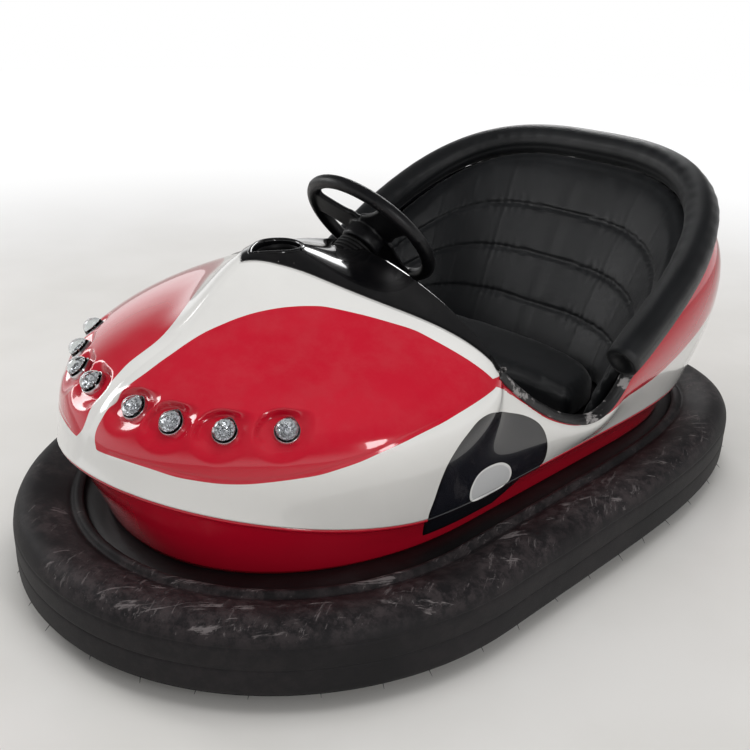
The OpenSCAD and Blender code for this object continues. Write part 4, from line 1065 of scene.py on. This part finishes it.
# Padded roll. A foam tube under black leathercloth, bent along the rim from arm to arm,
# closed by a welt along its inner side and cut off square at the arms.
group, given, result = effect("hide_grain", [("Place", "Vector", None), ("Scale", "Float", 600.0)],
                              [("Height", "Float"), ("Mask", "Float")])
cells = add(group, "ShaderNodeTexVoronoi", {"Vector": given["Place"], "Scale": given["Scale"]},
            feature="DISTANCE_TO_EDGE").outputs[0]
pores = noise(group, given["Place"], given["Scale"], 3.0)
feed(group, result["Height"], scaled(group, pores, 0.35, spread(group, cells, 0.0, 0.16)))
feed(group, result["Mask"], spread(group, cells, 0.0, 0.1))
tree = fresh("seat_hide")
place = object_place(tree)
cloudy = noise(tree, place, 4.0, 6.0, 0.6)
grain = use(tree, "hide_grain", Place=place, Scale=520.0)
dusty = use(tree, "settled_dust", Place=place, Amount=0.05, Scale=8.0)["Mask"]
base = blended(tree, cloudy, tone("08090b"), tone("0f1114"))
base = blended(tree, dusty, base, tone("4b4b4f"))
folds = noise(tree, place, 22.0, 4.0)
rough = scaled(tree, grain["Mask"], -0.05, scaled(tree, cloudy, 0.14, 0.36))
high = scaled(tree, folds, 3.0, grain["Height"])
finish_of("seat_hide", {"Base Color": base, "Roughness": rough, "Sheen Weight": 0.12,
                        "Sheen Roughness": 0.4}, high, 0.3, 0.0006)
roll_r, roll_rows, roll_sides = 43.0, 420, 56
roll_s = np.linspace(arm_at, 2 - arm_at, roll_rows)


def roll_frame(s):
    """Middle of the roll over the rim, with its directions out and up."""
    p = opening_edge(s)
    p[..., 0] *= np.where(wrapped(s) < 0, -1, 1)
    q = np.gradient(p, axis=0)
    t = q / np.linalg.norm(q, axis=1, keepdims=True)
    up = np.array([0, 0, 1.0]) - t[:, 2:] * t
    up /= np.linalg.norm(up, axis=1, keepdims=True)
    return p + (roll_r + 0.3) * up, np.cross(t, up), up


roll_mid, roll_out, roll_up = roll_frame(roll_s)
slack = np.random.default_rng(11)
length = np.linspace(0, 1, roll_rows)
lumps = sum(slack.uniform(0.15, 0.5) * np.sin(length * n * 6.28 + slack.uniform(0, 6.3))
            for n in (4, 9, 15, 24, 37))
end = np.clip(np.minimum(length, 1 - length) / 0.012, 0, 1)
rounded_end = 0.93 + 0.07 * np.sqrt(1 - (1 - end) ** 2)
layers = []
for a in np.linspace(0, 2 * math.pi, roll_sides + 1)[:-1]:
    seam_dip = 3.2 * math.exp(-((math.remainder(a - 3.5, 2 * math.pi)) / 0.10) ** 2)
    crease = 1.6 * math.exp(-((math.remainder(a - 0.9, 2 * math.pi)) / 0.3) ** 2)
    flat_face = 1.2 * (math.cos(a * 2) > 0.8)
    r = roll_r - 0.6 - seam_dip - crease + lumps * (0.5 + 0.5 * math.sin(3 * a)) - flat_face
    r = r * rounded_end
    layers.append(roll_mid + r[:, None] * (math.cos(a) * roll_out + math.sin(a) * roll_up))
tube = np.stack(layers, 1)
# Hollow of the gathered ends: share of the radius, depth
gathering = [(0.80, 1.0), (0.62, 6.0), (0.45, 11.0), (0.25, 14.0), (0.02, 15.0)]
ends = []
for at, inner in ((0, 2), (-1, -3)):
    inwards = roll_mid[inner] - roll_mid[at]
    inwards = inwards / np.linalg.norm(inwards)
    ends.append([roll_mid[at] + share * (tube[at] - roll_mid[at]) + deep * inwards
                 for share, deep in gathering])
tube = np.concatenate([np.stack(ends[0][::-1]), tube, np.stack(ends[1])])
roll_piece = mesh_piece("rim_roll_pad", tube, net(len(tube), roll_sides, False, True), "seat_hide")
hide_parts("rim_roll")


# Seat cushion. A foam bench under the same black leathercloth, crowned between its sides,
# with a sewn welt round its upper edge. It lies loose on the seat's box.
settling_steps = 20


def capped(rows, columns):
    """Faces over closed rings of points, with both ends closed."""
    ends = [list(range(columns))[::-1], list(range((rows - 1) * columns, rows * columns))]
    return net(rows, columns, False, True).tolist() + ends


def stuffed(points, faces, voxel, cap):
    """A closed form swollen by pressure as stuffed cloth is, with no point moved beyond a cap."""
    start = bpy.data.meshes.new("cloth")
    start.from_pydata((np.asarray(points).reshape(-1, 3) / 1000).tolist(), [], faces)
    cloth = bpy.data.objects.new("cloth", start)
    scene = bpy.context.scene
    scene.collection.objects.link(cloth)
    cells = cloth.modifiers.new("cells", "REMESH")
    cells.mode = "VOXEL"
    cells.voxel_size = voxel / 1000
    even = bpy.data.meshes.new_from_object(cloth.evaluated_get(bpy.context.evaluated_depsgraph_get()))
    cloth.modifiers.clear()
    cloth.data = even
    before = np.empty(len(even.vertices) * 3)
    even.vertices.foreach_get("co", before)
    blown = cloth.modifiers.new("blown", "CLOTH")
    blown.settings.use_pressure = True
    blown.settings.uniform_pressure_force = 4
    blown.settings.effector_weights.gravity = 0
    for step in range(1, settling_steps + 1):
        scene.frame_set(step)
    result = cloth.evaluated_get(bpy.context.evaluated_depsgraph_get()).data
    after = np.empty(len(even.vertices) * 3)
    result.vertices.foreach_get("co", after)
    moved = (after - before).reshape(-1, 3)
    far = np.linalg.norm(moved, axis=1, keepdims=True)
    after = before.reshape(-1, 3) + moved * np.minimum(1, cap / 1000 / np.maximum(far, 1e-9))
    cloth.modifiers.clear()
    scene.frame_set(1)
    even.vertices.foreach_set("co", after.ravel())
    cloth.modifiers.new("fine", "SUBSURF").levels = 1
    fine = bpy.data.meshes.new_from_object(cloth.evaluated_get(bpy.context.evaluated_depsgraph_get()))
    grown = np.empty(len(fine.vertices) * 3)
    fine.vertices.foreach_get("co", grown)
    found = [tuple(p.vertices) for p in fine.polygons]
    bpy.data.objects.remove(cloth)
    return grown.reshape(-1, 3) * 1000, found


pad_form = (385.0, 0.0, 0.0, 2.0, arm_y, 470.0, 2.8)
bench_half, bench_front, box_top, bench_ceiling = 377.0, 206.0, 250.4, 336.0
around = np.linspace(arm_at, 2 - arm_at, 120)
bench_x, bench_y = outline(around, pad_form)
bench_loop = np.column_stack([bench_x * bench_half / pad_form[0],
                              bench_y - 8 * np.clip((bench_y - arm_y) / 255, 0, 1)])
front_edge = np.column_stack([np.linspace(-bench_half, bench_half, 60)[1:-1], np.full(58, bench_front)])
bench_loop = np.vstack([bench_loop, front_edge])
bench_out = loop_normals(bench_loop)
# Section: inset from the outline, height above the floor
bench_section = [(16, 253.0), (7, 255.0), (4, 262.0), (4, 298.0), (7, 310.0), (14, 317.0), (30, 320.0)]
layers = [np.column_stack([bench_loop - inset * bench_out, np.full(len(bench_loop), height)])
          for inset, height in bench_section]
faces = capped(len(layers), len(bench_loop))
bench_points, bench_faces = stuffed(np.stack(layers), faces, 8.0, 9.0)
from_rim = line_distance(bench_points[:, :2], np.vstack([bench_loop, bench_loop[:1]]))
upper = np.clip((bench_points[:, 2] - 300) / 12, 0, 1)
crown = 5 * (1 - np.exp(-from_rim / 60))
welt = 3.2 * np.exp(-((from_rim - 15) / 4.5) ** 2)
bench_points[:, 2] += upper * crown - upper * welt
bench_points[:, 2] = np.clip(bench_points[:, 2], box_top, bench_ceiling)
bench = mesh_piece("seat_bench_pad", bench_points, bench_faces, "seat_hide")
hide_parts("seat_cushion")


# Seat back. One pad wrapped round the seat from arm to arm, tucked in under the roll, with
# three channels sewn along it and faint upright ones.
rim_form = (rim_half, 0.0, 0.0, 2.0, arm_y, rim_tail, rim_power)
back_channels = (0.27, 0.51, 0.75)
head_in, back_columns = 54, 150


def back_points(s, v, depth):
    """Points of the back pad: v from its foot to its head under the roll, depth into the pad."""
    foot_px, foot_py = outline(s, pad_form)
    rim = opening_edge(s)
    rim_px = rim[..., 0] * np.where(wrapped(s) < 0, -1, 1)
    out_x, out_y = outward(s, rim_form)
    head = np.stack([rim_px - head_in * out_x, rim[..., 1] - head_in * out_y, rim[..., 2] - 4], -1)
    foot = np.stack([foot_px, foot_py, 250.3 + 0 * foot_px], -1)
    level_out = np.stack([out_x, out_y, 0 * out_x], -1)
    bulge = 6 * np.sin(math.pi * np.clip(v, 0, 1))
    return between(foot, head, v[..., None]) + (depth - bulge)[..., None] * level_out


back_s = np.linspace(arm_at + 0.004, 2 - arm_at - 0.004, back_columns)
# Section: share of the height, depth into the pad
back_section = [(v, 3.0) for v in np.linspace(0.02, 0.985, 26)]
back_section += [(1.028, 8.0), (1.04, 18.0), (1.035, 34.0)]
back_section += [(v, 43.0 if v > 0.8 else 38.0) for v in np.linspace(1.0, 0.02, 12)]
back_section += [(0.005, 30.0), (0.005, 10.0)]
layers = [back_points(back_s, np.full(back_columns, v), np.full(back_columns, d))
          for v, d in back_section]
rows = len(back_section)
faces = net(rows, back_columns, True, False).tolist()
faces += [[j * back_columns for j in range(rows)],
          [j * back_columns + back_columns - 1 for j in range(rows)][::-1]]
pad_points, pad_faces = stuffed(np.stack(layers), faces, 11.5, 7.0)
sample_s, sample_v = np.meshgrid(np.linspace(arm_at, 2 - arm_at, 400), np.linspace(0, 1.04, 120))
samples = back_points(sample_s, sample_v, 0 * sample_s).reshape(-1, 3)
finder = KDTree(len(samples))
for i, sample in enumerate(samples.tolist()):
    finder.insert(sample, i)
finder.balance()
nearest = np.array([finder.find(p)[1:] for p in pad_points.tolist()])
at = nearest[:, 0].astype(int)
front_face = np.exp(-(np.clip(nearest[:, 1] - 7, 0, None) / 6) ** 2)
near_s, near_v = sample_s.ravel()[at], sample_v.ravel()[at]
rise = opening_edge(near_s)[:, 2] - 250
from_channels = np.array([np.abs(near_v - channel) * rise for channel in back_channels])
sunk = np.sum(5.5 * np.exp(-(from_channels / 6.5) ** 2), axis=0)
puffed = np.abs(np.sin(math.pi * (near_v - 0.03) / 0.24)) ** 0.6 * 2.8
panel_at, rim_length = 0.088, 1480
upright = np.abs((near_s - 1) / panel_at - np.round((near_s - 1) / panel_at)) * panel_at * rim_length
sunk = sunk + 1.3 * np.exp(-(upright / 6) ** 2)
gathers = np.sin(near_s * 300 + 4 * np.sin(near_s * 41))
puckers = 0.9 * np.exp(-(np.min(from_channels, axis=0) / 22) ** 2) * gathers
out_x, out_y = outward(near_s, rim_form)
push = front_face * (sunk - puffed + puckers)
pad_points += push[:, None] * np.stack([out_x, out_y, 0 * out_x], -1)
back_pad = mesh_piece("seat_back_wrap", pad_points, pad_faces, "seat_hide")
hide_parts("seat_back_pad")


# Steering wheel. Moulded black plastic over a steel core: a thick rim and three very wide
# spokes that run into rim and hub in smooth fillets, with a bell below that covers the nut.
def plain_finish(name, low, high, rough, metallic=0.0, grain=400.0, lift=0.25, wear=0.15, dust=0.15,
                 bright="8d8a88"):
    """A dull surface of two near tones with grain, rubbed places and a little dust."""
    tree = fresh(name)
    place = object_place(tree)
    cloudy = noise(tree, place, 7.0, 6.0, 0.6)
    share = spread(tree, cloudy, 0.4, 0.7, 0.05, 0.55)
    rubbed = use(tree, "scratches", Place=place, Scale=85.0, Share=share, Angle=0.7)["Mask"]
    dusty = use(tree, "settled_dust", Place=place, Amount=dust, Scale=9.0)["Mask"]
    base = blended(tree, spread(tree, cloudy, 0.3, 0.7), tone(low), tone(high))
    base = blended(tree, dusty, base, tone("57514f"))
    base = blended(tree, product(tree, rubbed, wear), base, tone(bright))
    fine = use(tree, "fine_grit", Place=place, Scale=grain)["Height"]
    worn = scaled(tree, dusty, 0.3, scaled(tree, fine, 0.12, rough))
    finish_of(name, {"Base Color": base, "Roughness": worn, "Metallic": metallic,
                     "Specular IOR Level": 0.35}, fine, lift, 0.0008)


def turned(profile, count, centre, axis):
    """A profile of radius and place along an axis, turned round it: rows of points."""
    axis = np.asarray(axis, float) / np.linalg.norm(axis)
    side = np.cross((0.0, 0.0, 1.0) if abs(axis[2]) < 0.9 else (0.0, 1.0, 0.0), axis)
    side = side / np.linalg.norm(side)
    third = np.cross(axis, side)
    a = np.linspace(0, 2 * math.pi, count, endpoint=False)[:, None]
    ring = np.cos(a) * side + np.sin(a) * third
    return np.stack([np.asarray(centre) + r * ring + h * axis for r, h in profile])


def closed_turn(profile, count, centre, axis):
    """A turned solid with flat ends."""
    return turned(profile, count, centre, axis), capped(len(profile), count)


plain_finish("grip_plastic", "08080a", "0e0e11", 0.30, grain=520.0, wear=0.2, dust=0.03)
column_side = np.array([1.0, 0.0, 0.0])
grip_at, grip_r, grip_sides, rim_sides, spoke_rows = 157, 15.6, 24, 128, 30
grip = [(grip_at + grip_r * math.cos(a), grip_r * math.sin(a))
        for a in np.linspace(0, 2 * math.pi, grip_sides + 1)[:-1]]
rim_ring = turned(grip, rim_sides, wheel_middle, column_dir)
solids = [(rim_ring, net(grip_sides, rim_sides, True, True).tolist())]
for angle in (-90, 30, 150):
    a = math.radians(angle)
    along_spoke = math.cos(a) * column_side + math.sin(a) * column_up
    across_spoke = -math.sin(a) * column_side + math.cos(a) * column_up
    layers = []
    for r in np.linspace(18, 160, spoke_rows):
        half = 40 + 30 * math.exp(-(160 - r) / 13) + 10 * math.exp(-abs(r - 44) / 16)
        half = min(half, 1.72 * r)
        section = [(-half, -5), (-half + 3, -10), (half - 3, -10), (half, -5), (half - 2, 0),
                   (half - 8, 3), (0, 4.5), (-half + 8, 3), (-half + 2, 0)]
        layers.append([wheel_middle + r * along_spoke + w * across_spoke + h * column_dir
                       for w, h in section])
    solids.append((np.array(layers), capped(spoke_rows, len(section))))
bell = [(30, -48), (44, -48), (47, -44), (47, -30), (44, -12), (46, -4), (48, 1), (44, 4.5), (34, 6.5),
        (26, 6.5), (24, 4)]
solids.append(closed_turn(bell, 72, wheel_middle, column_dir))
points, faces = joined(solids)
steering = mesh_piece("steering_wheel_moulding", points, faces, "grip_plastic", "steering_wheel")
fused = steering.modifiers.new("fused", "REMESH")
fused.mode = "VOXEL"
fused.voxel_size = 0.0031
fused.use_smooth_shade = True
rounded = steering.modifiers.new("rounded", "SMOOTH")
rounded.factor = 0.5
rounded.iterations = 10
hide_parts("steering_rim", "steering_spokes")


# Column boot. A moulded bellows of black rubber with four rings, which closes the gap
# between the cowl and the wheel's bell.
plain_finish("boot_rubber", "0b0b0c", "131314", 0.5, grain=300.0, wear=0.10, dust=0.05)
boot_rings = [(46, -94), (49.5, -93), (50, -90)]
for number in range(4):
    low, wide = -88 + number * 9.2, 48.5 - 1.3 * number
    boot_rings += [(wide - 4.5, low), (wide - 1.2, low + 1.8), (wide, low + 4.4), (wide - 1.2, low + 7.0)]
boot_rings += [(40, -51.5), (36, -51), (24, -51)]
boot_section = curve_through(boot_rings, 3)
boot = mesh_piece("column_bellows", turned(boot_section, 96, wheel_middle, column_dir),
                  net(len(boot_section), 96, False, True), "boot_rubber")
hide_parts("column_boot")


# Chassis. Square steel tubes under black enamel, welded into a frame with the floor plate,
# the hoop round it, the plates of the rear wheels, the steering column and its stay.
def dressed(node, material, edge=0.0):
    """Gives a solid its material and takes the sharpness off its edges."""
    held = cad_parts[node]
    held.data.materials[0] = bpy.data.materials[material + "_finish"]
    if edge:
        broken = held.modifiers.new("broken_edges", "BEVEL")
        broken.width = edge / 1000
        broken.segments = 2
        broken.limit_method = "ANGLE"
        broken.angle_limit = math.radians(50)


plain_finish("frame_steel", "141517", "1d1e21", 0.34, grain=240.0, wear=0.35, dust=0.12, bright="7b6a60")
for node in ("bumper_hoop", "floor_plate", "column_tube"):
    dressed(node, "frame_steel")
for node in ("frame_rails", "frame_crossbars", "wheel_brackets"):
    dressed(node, "frame_steel", 2.0)
stay_foot = wheel_middle - 150 * column_dir + 24 * column_up
stay_head = np.array([0.0, -236.0, 678.0])
stay_axis = stay_head - stay_foot
long = np.linalg.norm(stay_axis)
stay = closed_turn([(12, 0), (12, long - 8), (26, long - 7), (26, long)], 40, stay_foot, stay_axis)
clamp = [(22, -166), (29, -166), (30, -165), (30, -135), (29, -134), (22, -134)]
clamp_ring = (turned(clamp, 56, wheel_middle, column_dir), net(len(clamp), 56, True, True).tolist())
points, faces = joined([stay, clamp_ring])
bracket = mesh_piece("column_stay", points, faces, "frame_steel")
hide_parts("column_bracket")


# Box and cover under the seat. The bench stands on a black painted box, which hides the
# closed electric cover.
plain_finish("cover_plastic", "25272b", "303238", 0.45, grain=350.0, wear=0.15, dust=0.4)
dressed("battery_block", "cover_plastic", 4.0)
dressed("seat_base", "deck_black", 2.0)


# Cast head, yoke and pedal. Grey iron castings with a rough skin; the pedal's plate has
# raised bars that keep a shoe from slipping.
plain_finish("cast_metal", "3a3c40", "4c4e53", 0.52, 0.55, grain=170.0, lift=0.5, wear=0.3, dust=0.3,
             bright="a3a4a6")
dressed("swivel_mount", "cast_metal")
dressed("swivel_fork", "cast_metal", 2.0)
dressed("foot_pedal", "cast_metal", 1.5)
plate_foot = np.array([0.0, -251.0, 165.0])
pedal_lean = math.radians(48)
up_plate = np.array([0.0, math.sin(pedal_lean), math.cos(pedal_lean)])
off_plate = np.array([0.0, -up_plate[2], up_plate[1]])
bars = []
for high in range(12, 112, 12):
    layers = []
    for x in (-54, -52, 52, 54):
        tall = 2.4 if abs(x) < 54 else 0.4
        layers.append([plate_foot + (x, 0, 0) + (high + b) * up_plate + (6.0 + c) * off_plate
                       for b, c in ((-2.6, -0.5), (-1.6, tall), (1.6, tall), (2.6, -0.5))])
    bars.append((np.array(layers), net(4, 4, False, True).tolist() + [[0, 1, 2, 3], [15, 14, 13, 12]]))
points, faces = joined(bars)
mesh_piece("pedal_bars", points, faces, "cast_metal", smooth=False)


# Motor, hubs and pins. Ribbed aluminium motor on the yoke, cast hubs turned bright at
# their faces, and plain steel pins and shaft.
plain_finish("motor_aluminium", "85888c", "96999d", 0.36, 1.0, grain=230.0, wear=0.2, dust=0.35,
             bright="c4c5c6")
plain_finish("bare_steel", "8c8f93", "9fa2a6", 0.24, 1.0, grain=500.0, wear=0.25, dust=0.15,
             bright="d0d1d2")
drive_y, drive_r, rear_x, rear_y, rear_r = -480.0, 100.0, 290.0, 560.0, 80.0
case = [(20, 226.2), (54, 226.2), (57, 229), (57, 238)]
for low in range(242, 322, 8):
    case += [(53.5, low), (53.5, low + 3.4), (57.8, low + 4.0), (57.8, low + 7.4)]
case += [(57, 325), (57, 333), (52, 338), (18, 338), (15, 341), (15, 383), (13.5, 385), (1, 385)]
points, faces = closed_turn(case, 96, (0, drive_y, 0), (0, 0, 1))
motor = mesh_piece("motor_case", points, faces, "motor_aluminium", "drive_swivel", smooth=False)
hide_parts("drive_motor")
for node in ("drive_hub", "rear_hub_left", "rear_hub_right"):
    dressed(node, "motor_aluminium", 1.2)
for node in ("rear_axle_pins", "steering_shaft"):
    dressed(node, "bare_steel", 0.8)


# Wheels. Solid black rubber tyres pressed on the hubs, with two shallow rings moulded
# round the tread and scuffed faces.
plain_finish("wheel_rubber", "151516", "1f1e20", 0.6, grain=260.0, lift=0.45, wear=0.5, dust=0.35,
             bright="6d6866")


def wheel_tyre(name, centre, radius, wide, bore, body, node):
    """A solid tyre round a level axle."""
    half = wide / 2
    wall = [(bore + 0.2, -half + 1), (bore + 3, -half), (radius - 26, -half), (radius - 24, -half + 1.2),
            (radius - 12, -half + 1.2), (radius - 9, -half + 0.2), (radius - 5, -half + 0.6),
            (radius - 1.6, -half + 2.4), (radius - 0.1, -half + 6)]
    rings = []
    for middle in (-half / 3, half / 3):
        rings += [(radius - 0.1, middle - 2.2), (radius - 2.6, middle - 1.5),
                  (radius - 2.6, middle + 1.5), (radius - 0.1, middle + 2.2)]
    section = wall + rings + [(r, -h) for r, h in wall[::-1]]
    piece = mesh_piece(name, turned(section, 96, centre, (1, 0, 0)), net(len(section), 96, True, True),
                       "wheel_rubber", body)
    piece.modifiers.new("creases", "EDGE_SPLIT").split_angle = math.radians(38)
    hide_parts(node)


wheel_tyre("drive_wheel_tyre", (0, drive_y, drive_r), drive_r, 58, 52, "drive_wheel", "drive_tyre")
for side, label in ((1, "left"), (-1, "right")):
    wheel_tyre("rear_wheel_tyre_" + label, (rear_x * side, rear_y, rear_r), rear_r, 42, 42,
               "rear_wheel_" + label, "rear_tyre_" + label)


# Moulding whiskers. Thin rubber hairs left by the mould's vents, round the lower edge of
# the bumper tyre.
hairs = np.random.default_rng(23)
hair_rings, hair_sides = 5, 6
grown = []
for s in even_stations(bumper_form, 46):
    s = s + hairs.uniform(-0.006, 0.006)
    x, y = outline(np.array([s]), bumper_form)
    out_x, out_y = outward(np.array([s]), bumper_form)
    root = np.array([x[0] - 3.2 * out_x[0], y[0] - 3.2 * out_y[0], 49.0])
    swing_x, swing_y = hairs.uniform(-0.4, 0.4), hairs.uniform(-0.4, 0.4)
    lean = np.array([out_x[0] * 0.9 + swing_x, out_y[0] * 0.9 + swing_y, -0.7])
    long = hairs.uniform(7, 12)
    droop = hairs.uniform(0.5, 2.0)
    hair = []
    for k in np.linspace(0, 1, hair_rings):
        middle = root + long * k * lean - np.array([0, 0, droop * k * k])
        hair.append(turned([(0.9 * (1 - 0.6 * k), 0)], hair_sides, middle, lean)[0])
    tip = list(range((hair_rings - 1) * hair_sides, hair_rings * hair_sides))
    grown.append((np.array(hair), net(hair_rings, hair_sides, False, True).tolist() + [tip]))
points, faces = joined(grown)
mesh_piece("tyre_whiskers", points, faces, "wheel_rubber")
